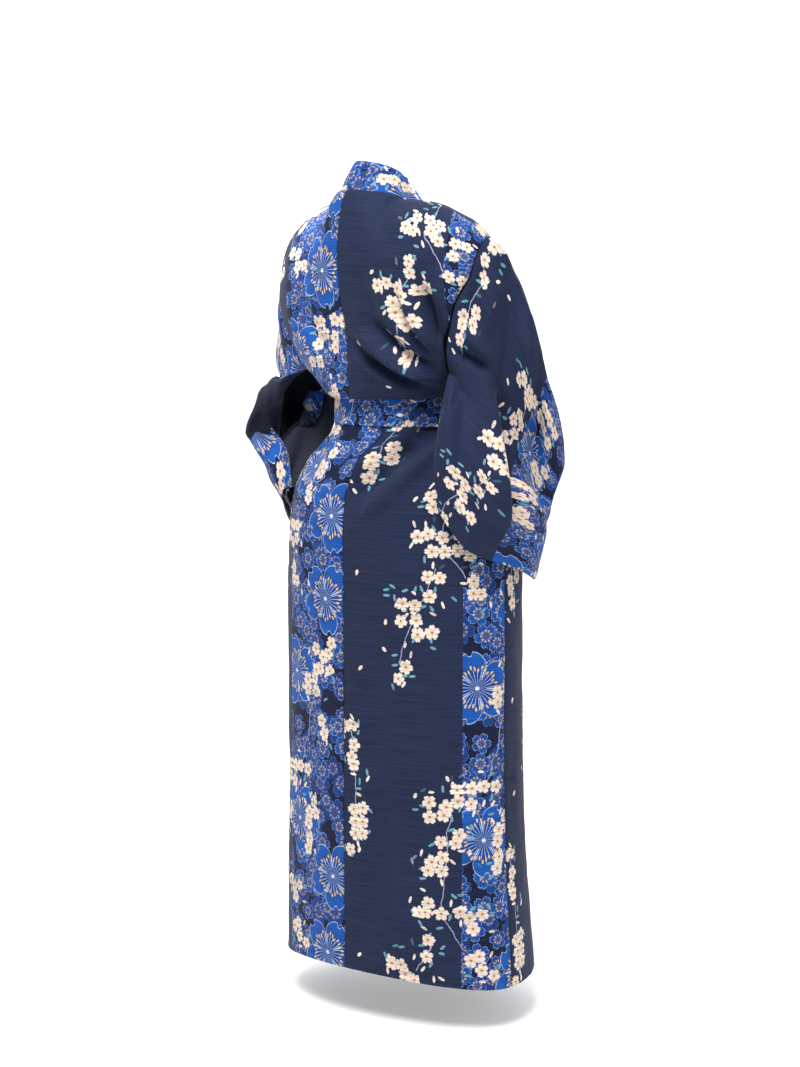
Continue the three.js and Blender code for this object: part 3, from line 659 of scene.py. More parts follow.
def armhole_edge(side, is_front):
    """The body's edge at an armhole, from the shoulder's end down."""
    name = ("front_" if is_front else "back_") + side
    ends = body_row(name, np.array([0.0, 1.0]), TOP - 1)
    past = (1.8 if is_front else 0.6) / np.linalg.norm(ends[1] - ends[0])
    share = -past if (side == "right") == is_front else 1 + past
    rows = np.linspace(TOP - 0.012, TOP - 6, 120)
    points = [body_row(name, np.array([share]), at)[0] for at in rows]
    return measured(np.array(points))


def bell(at, middle, reach):
    """One at the middle, falling softly to nothing at the reach."""
    t = np.minimum(np.abs(np.asarray(at, float) - middle) / reach, 1)
    return (1 - t * t) ** 2


class Sleeve:
    """A cloth folded over the arm, from the armhole to the cuff."""

    def __init__(self, side, rows, free_edge):
        self.side = side
        self.columns = table(SLEEVE_COLUMNS, rows)
        self.free = table(EDGE_COLUMNS, free_edge)
        self.outer = armhole_edge(side, False)
        self.inner = armhole_edge(side, True)
        self.last = len(rows) - 1

    def loose(self, share, down):
        """Places of the hanging cloth: down is above zero on the outer layer."""
        value = {name: read(column, share * self.last) for name, column in self.columns.items()}
        corner = max(share - 0.72, 0) / 0.28
        longest = 1 - 0.2 * (1 - math.sqrt(max(1 - corner * corner, 0)))
        depth = np.minimum(np.abs(down) / SLEEVE_DEPTH, 1.01) * longest
        angle = math.radians(value["facing"])
        out = np.array([math.cos(angle), math.sin(angle), 0])
        swell = value["belly"] * bell(depth, 0.72, 0.34) - value["valley"] * bell(depth, 0.36, 0.3)
        top = np.array([value["top_x"], value["top_y"], value["top_z"]])
        low = np.array([value["low_x"], value["low_y"], value["low_z"]])
        points = top + (low - top) * depth[:, None] + out * swell[:, None]
        round_top = np.minimum(depth / 0.16, 1)
        room = np.sqrt(1 - (1 - round_top) ** 2) * (1 - smooth(0.5, 0.92, depth))
        room *= 1 - smooth(0.8, 1, share) * smooth(0.41, 0.53, depth)
        room = 3.4 * np.minimum(depth / 0.01, 1) + (value["gap"] - 3.4) * room
        return points + out * (np.where(down >= 0, 0.15, -0.85) * room)[:, None]

    def hanging_edge(self, depth):
        """The open edge below the armhole, by the distance down."""
        at = np.interp(depth, self.free["down"], np.arange(len(self.free["down"])))
        return np.array([[read(self.free[c], a) for c in "xyz"] for a in at])

    def edge(self, down):
        """The sleeve's edge along the armhole and below it."""
        depth = np.abs(down)
        sewn = np.where((down >= 0)[:, None], along(self.outer, np.minimum(depth, ARMHOLE)),
                        along(self.inner, np.minimum(depth, ARMHOLE)))
        open_edge = np.where((down >= 0)[:, None], self.hanging_edge(depth), self.loose(0, down))
        start = np.where((down >= 0)[:, None], self.hanging_edge(np.array([ARMHOLE]))[0],
                         self.loose(0, np.array([-float(ARMHOLE)]))[0])
        fade = 1 - smooth(ARMHOLE, ARMHOLE + 60, depth)
        hanging = open_edge + (sewn - start) * fade[:, None]
        return np.where((depth <= ARMHOLE)[:, None], sewn, hanging)

    def row(self, share, down):
        """One row of the sleeve, from the inner layer's bottom over the top to the outer's."""
        points = self.loose(share, down)
        fade = 1 - float(smooth(0, 0.4, share))
        if fade > 0:
            points = points + (self.edge(down) - self.loose(0, down)) * fade
        points[:, 0] += (-1 if self.side == "right" else 1) * 10 * bell(share, 0.1, 0.1)
        return points


# The depth of each sleeve's pleats in millimetres, and where the first one starts, in radians.
PLEATS = {"right": (3.0, 0.0), "left": (8.5, 0.9)}


def sleeve_piece(side, rows, free_edge, settings):
    """Builds a sleeve, with the soft pleats of cloth that hangs from a bent arm."""
    shape = Sleeve(side, rows, free_edge)
    size = 1000 * settings.net
    half = int(SLEEVE_DEPTH / size)
    downs = np.linspace(-SLEEVE_DEPTH + 0.5, SLEEVE_DEPTH - 0.5, 2 * half + 1)
    if side == "left":
        downs = downs[::-1]
    shares = np.linspace(0, 1, int(SLEEVE_RUN / size) + 1)
    net = np.array([shape.row(share, downs) for share in shares])
    net[:, :, 1] -= AXIS_TO_SHOULDERS
    run = np.repeat(shares[:, None], len(downs), axis=1)
    depth = np.repeat(np.abs(downs)[None, :], len(shares), axis=0)
    outer = np.repeat((downs >= 0)[None, :], len(shares), axis=0).astype(float)
    bolts = 0.002 + run * SLEEVE_WIDTH if side == "right" else BOLT_EDGE - run * SLEEVE_WIDTH
    place = np.stack([bolts, 1.02 - depth / 1000], axis=-1)
    edge = np.minimum(run, 1 - run) * SLEEVE_WIDTH
    hang = smooth(90, 190, depth) * (1 - smooth(400, 488, depth)) * smooth(0.05, 0.25, run)
    depth_of_pleats, start_of_pleats = PLEATS[side]
    pleats = np.sin(run * 26 + 1.2 * np.sin(depth / 90) + start_of_pleats)
    strength = depth_of_pleats * (0.75 + 0.25 * np.sin(depth / 47))
    net = net + net_normals(net) * (pleats * strength * hang * (1 - 0.45 * outer))[:, :, None]
    together = (1 - outer) * smooth(330, 450, depth)
    groups = [("sleeve_" + side, (outer - together) * smooth(0.0, 0.06, run))]
    if side == "left":
        groups.append(("sleeve_left_inside", (1 - outer) * (1 - smooth(0.2, 0.6, run))))
    return cloth_piece("cloth_sleeve_" + side, "sleeve_" + side, net, place, edge, groups, settings)


def collar_lean(sign, aside, turn):
    """Which way the band stands from the neck: upright at the nape, inward at the side."""
    lean = turned(np.array([-sign * 0.5 * aside, -0.45, 0.89 - 0.15 * aside]), turn)
    return lean / np.linalg.norm(lean)


def collar_row(part, across):
    """A line across the band: part is -1 at the left end, 0 at the nape, 1 at the right end."""
    sign = 1 if part < 0 else -1
    side = "left" if part < 0 else "right"
    share = abs(part)
    reach = across * COLLAR_WIDTH + 0.6
    turn = read(BODY["turn"], TOP)
    if share <= NECK_SHARE:
        aside = share / NECK_SHARE
        base = along(TOP_LINES[side, False], aside * NECK_LENGTH)
        return base + collar_lean(sign, aside, turn) * reach[:, None]
    at = TOP - (share - NECK_SHARE) / (1 - NECK_SHARE) * (TOP - COLLAR_END)
    low = min(at, TOP - 1)
    _, front, value = level(low)
    start = front[1][PIECES_IN_QUARTER] - value["lap"] * sign
    distance = start - sign * reach
    sink = under(low, distance) if side == "right" else 0.0
    lying = ring_points(low, True, distance, sink)
    if at <= TOP - 1:
        return lying
    base = body_row("front_" + side, np.array([1.0 if side == "right" else 0.0]), at)
    begin = under(low, start) if side == "right" else 0.0
    flat = (lying - ring_points(low, True, [start], begin)) / reach[:, None]
    t = at - (TOP - 1)
    lean = flat + (collar_lean(sign, 1, turn) - flat) * t
    lean /= np.linalg.norm(lean, axis=1)[:, None]
    tuck = 5 * (1 - float(smooth(0.3, 0.9, t))) * across if side == "right" else 0 * across
    return base + lean * reach[:, None] + np.stack([0 * tuck, tuck, 0 * tuck], axis=-1)


def collar_piece(name, node, start, end, settings):
    """Builds one half of the collar band as a soft flattened roll."""
    parts = np.linspace(start, end, int(abs(end - start) * 860 / 6) + 1)
    across = np.linspace(0, 1, 11)
    net = np.array([collar_row(part, across) for part in parts]).transpose(1, 0, 2)
    net[:, :, 1] -= AXIS_TO_SHOULDERS
    share = np.repeat(across[:, None], len(parts), axis=1)
    length = running(net, 1)
    place = np.stack([0.262 + share * COLLAR_WIDTH / 1000, length + 0.13 + abs(start)], axis=-1)
    edge = np.minimum(share, 1 - share) * COLLAR_WIDTH / 1000 + 0.006
    crown = 1.3 * np.sin(share * math.pi) ** 0.5
    net = net + net_normals(net) * crown[:, :, None]
    return cloth_piece(name, node, net, place, edge, [], settings,
                       thickness=COLLAR_THICKNESS, waviness=0.4)


def sash_row(rounds, height):
    """A line round the waist on the wrapped cloth, from the middle of the front."""
    at = SASH_LEVEL + height
    back, front, _ = level(at)
    whole = back[1][-1] + front[1][-1]
    start = back[1][-1] + front[1][PIECES_IN_QUARTER]
    distance = (start + rounds * whole) % whole
    is_front = distance > back[1][-1]
    points = ring_points(at, False, np.where(is_front, 0, distance), -SASH_STAND_OFF)
    in_front = distance[is_front] - back[1][-1]
    points[is_front] = ring_points(at, True, in_front, -SASH_STAND_OFF)
    return points


def sash_piece(settings):
    """Builds the sash round the waist, pinched a little and folded along its middle."""
    rounds = np.linspace(0.0005, 0.9995, 151)
    heights = np.linspace(0.03, 1.02, 11)
    net = np.array([sash_row(rounds, height) for height in heights])
    net[:, :, 1] -= AXIS_TO_SHOULDERS
    share = np.repeat(np.linspace(0, 1, 11)[:, None], len(rounds), axis=1)
    length = running(net, 1)
    place = np.stack([0.255 + share * SASH_WIDTH / 1000, length + 0.2], axis=-1)
    edge = np.minimum(share, 1 - share) * SASH_WIDTH / 1000 + 0.006
    lift = 0.8 * np.sin(share * math.pi) ** 0.4 + 0.5 * np.sin(length * 41 + share * 5)
    net = net + net_normals(net) * lift[:, :, None]
    return cloth_piece("cloth_sash", "sash", net, place, edge, [], settings,
                       thickness=SASH_THICKNESS, waviness=0.35)


def sash_end_piece(name, node, sign, settings):
    """Builds a hanging end of the sash in front."""
    shares = np.linspace(-0.5, 0.5, 9)
    net = []
    for up in np.linspace(0, 1, 30):
        down = 1 - up
        at = SASH_LEVEL + 0.3 - down * 3.2
        front = level(at)[1]
        middle = front[1][PIECES_IN_QUARTER] - sign * (16 + 26 * down)
        stand = 0.6 + 5.2 + (2.6 if sign > 0 else 0) + 6 * math.sin(down * math.pi)
        net.append(ring_points(at, True, middle + shares * SASH_WIDTH * 0.8, -stand))
    net = np.array(net)
    net[:, :, 1] -= AXIS_TO_SHOULDERS
    across = running(net, 1)
    place = np.stack([0.26 + across, running(net, 0) + 0.3], axis=-1)
    edge = np.minimum(across, across[:, -1:] - across) + 0.006
    return cloth_piece(name, node, net, place, edge, [], settings,
                       thickness=SASH_THICKNESS, waviness=0.3)


# The knot's two strips: their tilt in degrees, and how far out each bulges as a share of the
# knot's depth. A strip's half length, its half width where it is pinched and what it gains
# towards its ends are millimetres.
KNOT_STRIPS = ((34, 0.42), (-38, 0.62))
KNOT_REACH = 26
KNOT_PINCH = 11
KNOT_FLARE = 5.5


def knot_piece():
    """Builds the flat knot in front: two folded strips that cross, bulging where they do."""
    middle = sash_row(np.array([0.0]), 0.5)[0] - [0, AXIS_TO_SHOULDERS, 0]
    low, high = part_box("sash_knot")
    depth = 1000 * (high - low)[1]
    parts = []
    for tilt, out in KNOT_STRIPS:
        angle = math.radians(tilt)
        runs = np.linspace(-1, 1, 27)
        wides = np.linspace(-1, 1, 11)
        run, wide = np.meshgrid(runs, wides, indexing="xy")
        narrow = KNOT_PINCH + KNOT_FLARE * np.abs(run) ** 1.5
        x = KNOT_REACH * run * math.cos(angle) - wide * narrow * math.sin(angle)
        z = KNOT_REACH * run * math.sin(angle) + wide * narrow * math.cos(angle)
        y = -depth * out * (1 - 0.75 * run ** 2) * (1 - 0.45 * wide ** 4)
        base = 1000 * high[1] - 3
        net = np.stack([middle[0] + x * 0.98, base + y, middle[2] + z * 0.86], axis=-1)
        place = np.stack([0.29 + 0.017 * wide, 0.5 + 0.03 * run], axis=-1)
        edge = np.full(place.shape[:2], 0.02)
        parts.append(shell("strip", net, place, edge, COLLAR_THICKNESS))
    bpy.ops.object.select_all(action="DESELECT")
    for strip in parts:
        strip.select_set(True)
    bpy.context.view_layer.objects.active = parts[0]
    bpy.ops.object.join()
    knot = bpy.context.active_object
    knot.name = "cloth_sash_knot"
    knot.data.name = "cloth_sash_knot"
    knot.select_set(False)
    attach(knot, "root")
    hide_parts("sash_knot")
    return knot


class Wiring:
    """Adds nodes to a tree and joins them up."""

    def __init__(self, tree):
        self.tree = tree

    def put(self, target, source):
        """Joins a socket to an input, or sets the input's own value."""
        if isinstance(source, bpy.types.NodeSocket):
            self.tree.links.new(source, target)
        elif target.type == "VECTOR":
            target.default_value = source[:3]
        else:
            target.default_value = source

    def calc(self, operation, *values):
        """A sum on numbers."""
        node = self.tree.nodes.new("ShaderNodeMath")
        node.operation = operation
        for socket, value in zip(node.inputs, values):
            self.put(socket, value)
        return node.outputs[0]

    def plus(self, first, second):
        """Two numbers added."""
        return self.calc("ADD", first, second)

    def minus(self, first, second):
        """A number less another."""
        return self.calc("SUBTRACT", first, second)

    def times(self, first, second):
        """Two numbers multiplied."""
        return self.calc("MULTIPLY", first, second)

    def times_plus(self, first, second, third):
        """Two numbers multiplied, and a third added."""
        return self.calc("MULTIPLY_ADD", first, second, third)

    def arrow(self, operation, *values):
        """A sum on vectors; lengths and dot products come back as numbers."""
        node = self.tree.nodes.new("ShaderNodeVectorMath")
        node.operation = operation
        for socket, value in zip(node.inputs, values):
            self.put(socket, value)
        return node.outputs[1 if operation in ("LENGTH", "DOT_PRODUCT") else 0]

    def scaled(self, vector, factor):
        """A vector times a number."""
        node = self.tree.nodes.new("ShaderNodeVectorMath")
        node.operation = "SCALE"
        self.put(node.inputs[0], vector)
        self.put(node.inputs["Scale"], factor)
        return node.outputs[0]

    def split(self, vector):
        """The three numbers of a vector."""
        node = self.tree.nodes.new("ShaderNodeSeparateXYZ")
        self.put(node.inputs[0], vector)
        return node.outputs

    def gather(self, x, y, z=0.0):
        """A vector from its numbers."""
        node = self.tree.nodes.new("ShaderNodeCombineXYZ")
        for socket, value in zip(node.inputs, (x, y, z)):
            self.put(socket, value)
        return node.outputs[0]

    def step(self, value, low, high):
        """Rises softly from 0 at low to 1 at high; low may be the greater one."""
        node = self.tree.nodes.new("ShaderNodeMapRange")
        node.interpolation_type = "SMOOTHSTEP"
        for name, source in (("Value", value), ("From Min", low), ("From Max", high)):
            self.put(node.inputs[name], source)
        return node.outputs[0]

    def blend(self, factor, low, high):
        """A colour between two."""
        node = self.tree.nodes.new("ShaderNodeMix")
        node.data_type = "RGBA"
        self.put(node.inputs[0], factor)
        self.put(node.inputs[6], low)
        self.put(node.inputs[7], high)
        return node.outputs[2]

    def noise(self, vector, scale, detail=2.0):
        """Soft noise from 0 to 1."""
        node = self.tree.nodes.new("ShaderNodeTexNoise")
        self.put(node.inputs["Vector"], vector)
        node.inputs["Scale"].default_value = scale
        node.inputs["Detail"].default_value = detail
        return node.outputs["Fac"]

    def cells(self, vector, size, randomness):
        """Scattered cells: the offset from a cell's middle, the middle and two random numbers."""
        node = self.tree.nodes.new("ShaderNodeTexVoronoi")
        node.voronoi_dimensions = "2D"
        self.put(node.inputs["Vector"], vector)
        node.inputs["Scale"].default_value = 1 / size
        node.inputs["Randomness"].default_value = randomness
        middle = node.outputs["Position"]
        chance = self.split(node.outputs["Color"])
        return self.arrow("SUBTRACT", vector, middle), middle, chance[0], chance[1]

    def group(self, tree, **values):
        """A copy of a node group, with its inputs joined."""
        node = self.tree.nodes.new("ShaderNodeGroup")
        node.node_tree = tree
        for name, value in values.items():
            self.put(node.inputs[name.replace("_", " ")], value)
        return node.outputs


def new_group(name, inputs, outputs):
    """An empty node group with named inputs and outputs, and its wiring."""
    tree = bpy.data.node_groups.new(name, "ShaderNodeTree")
    for label, kind, value in inputs:
        made = tree.interface.new_socket(label, in_out="INPUT", socket_type=kind)
        if value is not None:
            made.default_value = value
    for label, kind in outputs:
        tree.interface.new_socket(label, in_out="OUTPUT", socket_type=kind)
    start = tree.nodes.new("NodeGroupInput")
    end = tree.nodes.new("NodeGroupOutput")
    return tree, Wiring(tree), start.outputs, end.inputs


def blossom_group():
    """A five-petalled blossom: masks of its petals, their outline and its stamens."""
    name = "Blossom"
    if name in bpy.data.node_groups:
        return bpy.data.node_groups[name]
    number = "NodeSocketFloat"
    tree, w, given, made = new_group(
        name, (("Offset", "NodeSocketVector", None), ("Radius", number, 0.012),
               ("Turn", number, 0.0), ("Line", number, 0.0006)),
        (("Petal", number), ("Outline", number), ("Stamens", number), ("Reach", number),
         ("Angle", number)))
    part = w.split(given["Offset"])
    angle = w.plus(w.calc("ARCTAN2", part[1], part[0]), given["Turn"])
    far = w.arrow("LENGTH", given["Offset"])
    reach = w.calc("DIVIDE", far, given["Radius"])
    lobe = w.calc("ABSOLUTE", w.calc("COSINE", w.times(angle, 2.5)))
    swell = w.calc("POWER", lobe, 0.55)
    notch = w.times(w.step(lobe, 0.965, 1.0), 0.12)
    border = w.minus(w.times_plus(swell, 0.52, 0.48), notch)
    border = w.times(border, given["Radius"])
    inside = w.minus(border, far)
    petal = w.step(inside, -0.0002, 0.0003)
    inner = w.step(inside, given["Line"], w.times(given["Line"], 1.7))
    between = w.times(w.step(lobe, 0.16, 0.04), w.step(reach, 0.2, 0.3))
    outline = w.calc("MAXIMUM", w.minus(1.0, inner), between)
    rays = w.step(w.calc("ABSOLUTE", w.calc("SINE", w.times(angle, 12.5))), 0.35, 0.1)
    rays = w.times(rays, w.step(reach, 0.52, 0.44))
    made_values = {
        "Petal": petal,
        "Outline": w.times(outline, petal),
        "Stamens": w.times(rays, petal),
        "Reach": reach,
        "Angle": angle,
    }
    for label, value in made_values.items():
        w.put(made[label], value)
    return tree


# The hanging sprays of cream blossoms in one repeat of the print: two ends as places across the
# bolt and along it, and the half width of the cluster, in metres.
SPRAYS = (
    ((0.120, 0.025), (0.155, -0.025), 0.021),
    ((0.172, 0.060), (0.180, 0.040), 0.018),
    ((0.165, 0.130), (0.250, 0.118), 0.021),
    ((0.116, 0.550), (0.124, 0.515), 0.011),
    ((0.022, 0.425), (0.045, 0.345), 0.014),
    ((0.045, 0.285), (0.030, 0.225), 0.014),
    ((0.180, 0.300), (0.270, 0.335), 0.022),
    ((0.175, 0.200), (0.215, 0.250), 0.021),
    ((0.235, 0.055), (0.275, 0.030), 0.013),
    ((0.365, 0.555), (0.350, 0.520), 0.017),
    ((0.325, 0.545), (0.300, 0.475), 0.018),
    ((0.345, 0.440), (0.340, 0.400), 0.014),
    ((0.300, 0.275), (0.285, 0.200), 0.016),
)
# The thin stems, by their two ends, and the middles of the stripe's large blossoms.
STEMS = (
    ((0.190, 0.120), (0.228, 0.068)),
    ((0.178, 0.080), (0.150, 0.020)),
    ((0.140, 0.000), (0.118, -0.075)),
    ((0.205, 0.290), (0.190, 0.130)),
    ((0.026, 0.420), (0.042, 0.230)),
    ((0.265, 0.335), (0.305, 0.455)),
)
BIG_BLOSSOMS = ((0.343, 0.020), (0.358, 0.160), (0.262, 0.245), (0.250, 0.500))
# Sizes in the print, in metres, apart from the turn in radians and the bends in each metre.
WHOLE_TURN = 6.28
STEM_BENDS = 22.0
STEM_WANDER = 0.022
STEM_EDGE = (0.0011, 0.0006)
LEAF_SPACING = 0.0165
LEAF_SIZE = (0.0062, 0.0023)
PETAL_SPACING = 0.052
PETAL_SIZE = (0.0050, 0.0029)
BLOSSOM_SPACING = 0.0232
BLOSSOM_RADIUS = 0.0118
BIG_RADIUS = 0.063
# Two layers of crowded blossoms in the stripe: spacing, radius, shift of the cells and lightness.
CROWDED_BLOSSOMS = ((0.047, 0.027, 0.31, 0.1), (0.040, 0.020, 0.0, 0.5))
# The hem's stitches above its edge, in metres, and the waves of the weave in each metre.
HEM_STITCH = 0.015
THREAD_RATE = 7800.0


def nearest_line(w, place, lines):
    """The least distance from a place to a list of lines, each less its half width."""
    across, along_bolt = w.split(place)[:2]
    nearest = None
    for first, second, *width in lines:
        middle = (first[1] + second[1]) / 2
        local = w.calc("WRAP", w.minus(along_bolt, middle), REPEAT / 2, -REPEAT / 2)
        x = w.minus(across, first[0])
        y = w.plus(local, middle - first[1])
        way = (second[0] - first[0], second[1] - first[1])
        square = way[0] ** 2 + way[1] ** 2
        share = w.times_plus(y, way[1] / square, w.times(x, way[0] / square))
        share = w.calc("MINIMUM", w.calc("MAXIMUM", share, 0.0), 1.0)
        from_x = w.times_plus(share, -way[0], x)
        from_y = w.times_plus(share, -way[1], y)
        far = w.calc("SQRT", w.times_plus(from_x, from_x, w.times(from_y, from_y)))
        if width:
            far = w.minus(far, width[0])
        nearest = far if nearest is None else w.calc("MINIMUM", nearest, far)
    return nearest


def spray_group():
    """How far a place lies outside the nearest cluster of the hanging sprays."""
    name = "Sprays"
    if name in bpy.data.node_groups:
        return bpy.data.node_groups[name]
    tree, w, given, made = new_group(
        name, (("Place", "NodeSocketVector", None),), (("Outside", "NodeSocketFloat"),))
    w.put(made["Outside"], nearest_line(w, given["Place"], SPRAYS))
    return tree


def oval(w, offset, turn, long, wide):
    """A small leaf or petal: a turned oval's mask."""
    x, y = w.split(offset)[:2]
    cosine = w.calc("COSINE", turn)
    sine = w.calc("SINE", turn)
    ahead = w.times_plus(x, cosine, w.times(y, sine))
    aside = w.minus(w.times(y, cosine), w.times(x, sine))
    ahead = w.calc("DIVIDE", ahead, long)
    aside = w.calc("DIVIDE", aside, wide)
    far = w.times_plus(ahead, ahead, w.times(aside, aside))
    return w.step(far, 1.1, 0.9)


def blue_ground(w, place, color, colors):
    """The crowded blue blossoms of the stripe over its near-black gaps."""
    for size, radius, shift, shade in CROWDED_BLOSSOMS:
        moved = w.arrow("ADD", place, (shift, shift * 0.7, 0.0))
        offset, _, chance, other = w.cells(moved, size, 0.7)
        turn = w.times(chance, WHOLE_TURN)
        size_here = w.times_plus(other, radius * 0.3, radius * 0.8)
        flower = w.group(blossom_group(), Offset=offset, Radius=size_here, Turn=turn)
        light = w.times_plus(other, 0.5, shade - 0.25)
        body = w.blend(w.times(light, w.step(flower["Reach"], 0.2, 1.0)),
                       colors.deep, colors.bright)
        body = w.blend(w.times(flower["Outline"], 0.12 + 0.8 * shade), body, colors.outline)
        ring = w.calc("ABSOLUTE", w.minus(flower["Reach"], 0.4))
        dots = w.step(w.calc("SINE", w.times(flower["Angle"], 9.0)), -0.2, 0.5)
        tips = w.times(w.step(ring, 0.11, 0.05), dots)
        body = w.blend(w.times(flower["Stamens"], 0.2 + 0.5 * shade), body, colors.outline)
        body = w.blend(w.times(tips, 0.35 + 0.6 * shade), body, colors.gold)
        present = w.times(flower["Petal"], w.calc("GREATER_THAN", chance, 0.16))
        color = w.blend(present, color, body)
    return color


def big_blossom(w, place, color, colors):
    """The large bright blossoms that stand in the stripe at half repeats."""
    across, up = w.split(place)[:2]
    x, y, nearest = 1.0, 1.0, 2.0
    for middle_across, middle_up in BIG_BLOSSOMS:
        local = w.calc("WRAP", w.minus(up, middle_up), REPEAT / 2, -REPEAT / 2)
        aside = w.minus(across, middle_across)
        far = w.times_plus(aside, aside, w.times(local, local))
        closer = w.calc("LESS_THAN", far, nearest)
        x = w.times_plus(closer, w.minus(aside, x), x)
        y = w.times_plus(closer, w.minus(local, y), y)
        nearest = w.calc("MINIMUM", far, nearest)
    flower = w.group(blossom_group(), Offset=w.gather(x, y), Radius=BIG_RADIUS,
                     Turn=w.times_plus(closer, 0.5, 0.2), Line=0.0009)
    shade = w.times_plus(w.noise(place, 90.0), 0.5, w.step(flower["Reach"], 0.15, 1.0))
    body = w.blend(w.times(shade, 0.62), colors.deep, colors.bright)
    body = w.blend(w.times(flower["Outline"], 0.8), body, colors.outline)
    body = w.blend(w.times(flower["Stamens"], 0.85), body, colors.outline)
    angle = w.calc("ARCTAN2", y, x)
    dots = w.step(w.calc("SINE", w.times(angle, 34.0)), -0.1, 0.4)
    uneven = w.times_plus(w.calc("SINE", w.times(angle, 11.0)), 0.05, 0.52)
    ring = w.calc("ABSOLUTE", w.minus(flower["Reach"], uneven))
    tips = w.times(dots, w.step(ring, 0.06, 0.035))
    body = w.blend(tips, body, colors.gold)
    body = w.blend(w.step(flower["Reach"], 0.07, 0.04), body, colors.outline)
    return w.blend(flower["Petal"], color, body)


def print_group(colors):
    """The printed cotton's colour at a place on its bolt."""
    name = "Flower Print"
    if name in bpy.data.node_groups:
        return bpy.data.node_groups[name]
    tree, w, given, made = new_group(
        name, (("Place", "NodeSocketVector", None),), (("Color", "NodeSocketColor"),))
    place = given["Place"]
    across = w.split(place)[0]
    stripe = w.calc("GREATER_THAN", across, STRIPE_START)
    ground = blue_ground(w, place, colors.gap, colors)
    ground = big_blossom(w, place, ground, colors)
    color = w.blend(stripe, colors.navy, ground)
    elsewhere = w.arrow("ADD", place, (3.0, 1.0, 0.0))
    wander = w.gather(w.noise(place, STEM_BENDS), w.noise(elsewhere, STEM_BENDS))
    wander = w.arrow("SUBTRACT", wander, (0.5, 0.5, 0.0))
    bent = w.arrow("ADD", place, w.scaled(wander, STEM_WANDER))
    stem = w.step(nearest_line(w, bent, STEMS), *STEM_EDGE)
    color = w.blend(w.times(stem, 0.75), color, colors.lilac)
    offset, middle, chance, other = w.cells(place, LEAF_SPACING, 0.9)
    outside = w.group(spray_group(), Place=middle)["Outside"]
    near = w.times(w.step(outside, 0.016, 0.011), w.calc("GREATER_THAN", chance, 0.42))
    leaf = oval(w, offset, w.times(other, WHOLE_TURN), *LEAF_SIZE)
    leaf = w.times(leaf, near)
    leaf_color = w.blend(w.calc("GREATER_THAN", other, 0.62), colors.teal, colors.cream)
    color = w.blend(leaf, color, leaf_color)
    offset, middle, chance, other = w.cells(place, BLOSSOM_SPACING, 0.62)
    outside = w.group(spray_group(), Place=middle)["Outside"]
    flower = w.group(blossom_group(), Offset=offset, Turn=w.times(other, WHOLE_TURN),
                     Radius=w.times_plus(chance, 0.002, BLOSSOM_RADIUS), Line=0.0005)
    warm = w.times(w.step(flower["Reach"], 0.6, 0.3), 0.5)
    body = w.blend(warm, colors.cream, colors.gold)
    body = w.blend(w.times(flower["Outline"], 0.6), body, colors.mauve)
    body = w.blend(w.step(flower["Reach"], 0.22, 0.13), body, colors.mauve)
    present = w.times(flower["Petal"], w.calc("LESS_THAN", outside, 0.0))
    color = w.blend(present, color, body)
    offset, _, chance, other = w.cells(place, PETAL_SPACING, 0.9)
    drop = oval(w, offset, w.times(other, WHOLE_TURN), *PETAL_SIZE)
    drop = w.times(drop, w.calc("GREATER_THAN", chance, 0.8))
    color = w.blend(w.times(drop, w.minus(1.0, stripe)), color, colors.cream)
    w.put(made["Color"], color)
    return tree


def weave_group():
    """Plain weave with thicker threads here and there, its relief, its hem stitches and painted
    seam shade.
    """
    name = "Slub Weave"
    if name in bpy.data.node_groups:
        return bpy.data.node_groups[name]
    number = "NodeSocketFloat"
    tree, w, given, made = new_group(
        name, (("Place", "NodeSocketVector", None), ("Edge", number, 0.1), ("Hem", number, 1.0)),
        (("Normal", "NodeSocketVector"), ("Slub", number), ("Streak", number), ("Seam", number)))
    place = given["Place"]
    x, y = w.split(place)[:2]
    weft = w.noise(w.gather(w.times(x, 45.0), w.times(y, 1150.0)), 1.0, 3.0)
    warp = w.noise(w.gather(w.times(x, 1150.0), w.times(y, 60.0)), 1.0, 2.0)
    streak = w.noise(w.gather(w.times(x, 11.0), w.times(y, 520.0)), 1.0, 3.0)
    threads = w.times(w.calc("SINE", w.times(x, THREAD_RATE)),
                      w.calc("SINE", w.times(y, THREAD_RATE)))
    slub = w.times_plus(warp, 0.35, w.times(weft, 0.65))
    height = w.times_plus(threads, 0.12, w.plus(slub, streak))
    stitch = w.step(w.calc("ABSOLUTE", w.minus(given["Hem"], HEM_STITCH)), 0.0012, 0.0005)
    dashes = w.calc("GREATER_THAN", w.calc("SINE", w.times(x, 1300.0)), -0.2)
    stitch = w.times(stitch, dashes)
    height = w.minus(height, w.times(stitch, 0.8))
    bump = tree.nodes.new("ShaderNodeBump")
    bump.inputs["Strength"].default_value = 0.35
    bump.inputs["Distance"].default_value = 0.0006
    w.put(bump.inputs["Height"], height)
    w.put(made["Normal"], bump.outputs[0])
    w.put(made["Slub"], slub)
    w.put(made["Streak"], streak)
    # Painted shade: the colour darkens within 3 mm of a panel's edge, as a seam's crease would be
    # shaded; the hem's stitch line is darkened too.
    w.put(made["Seam"], w.calc("MAXIMUM", stitch, w.step(given["Edge"], 0.003, 0.0008)))
    return tree


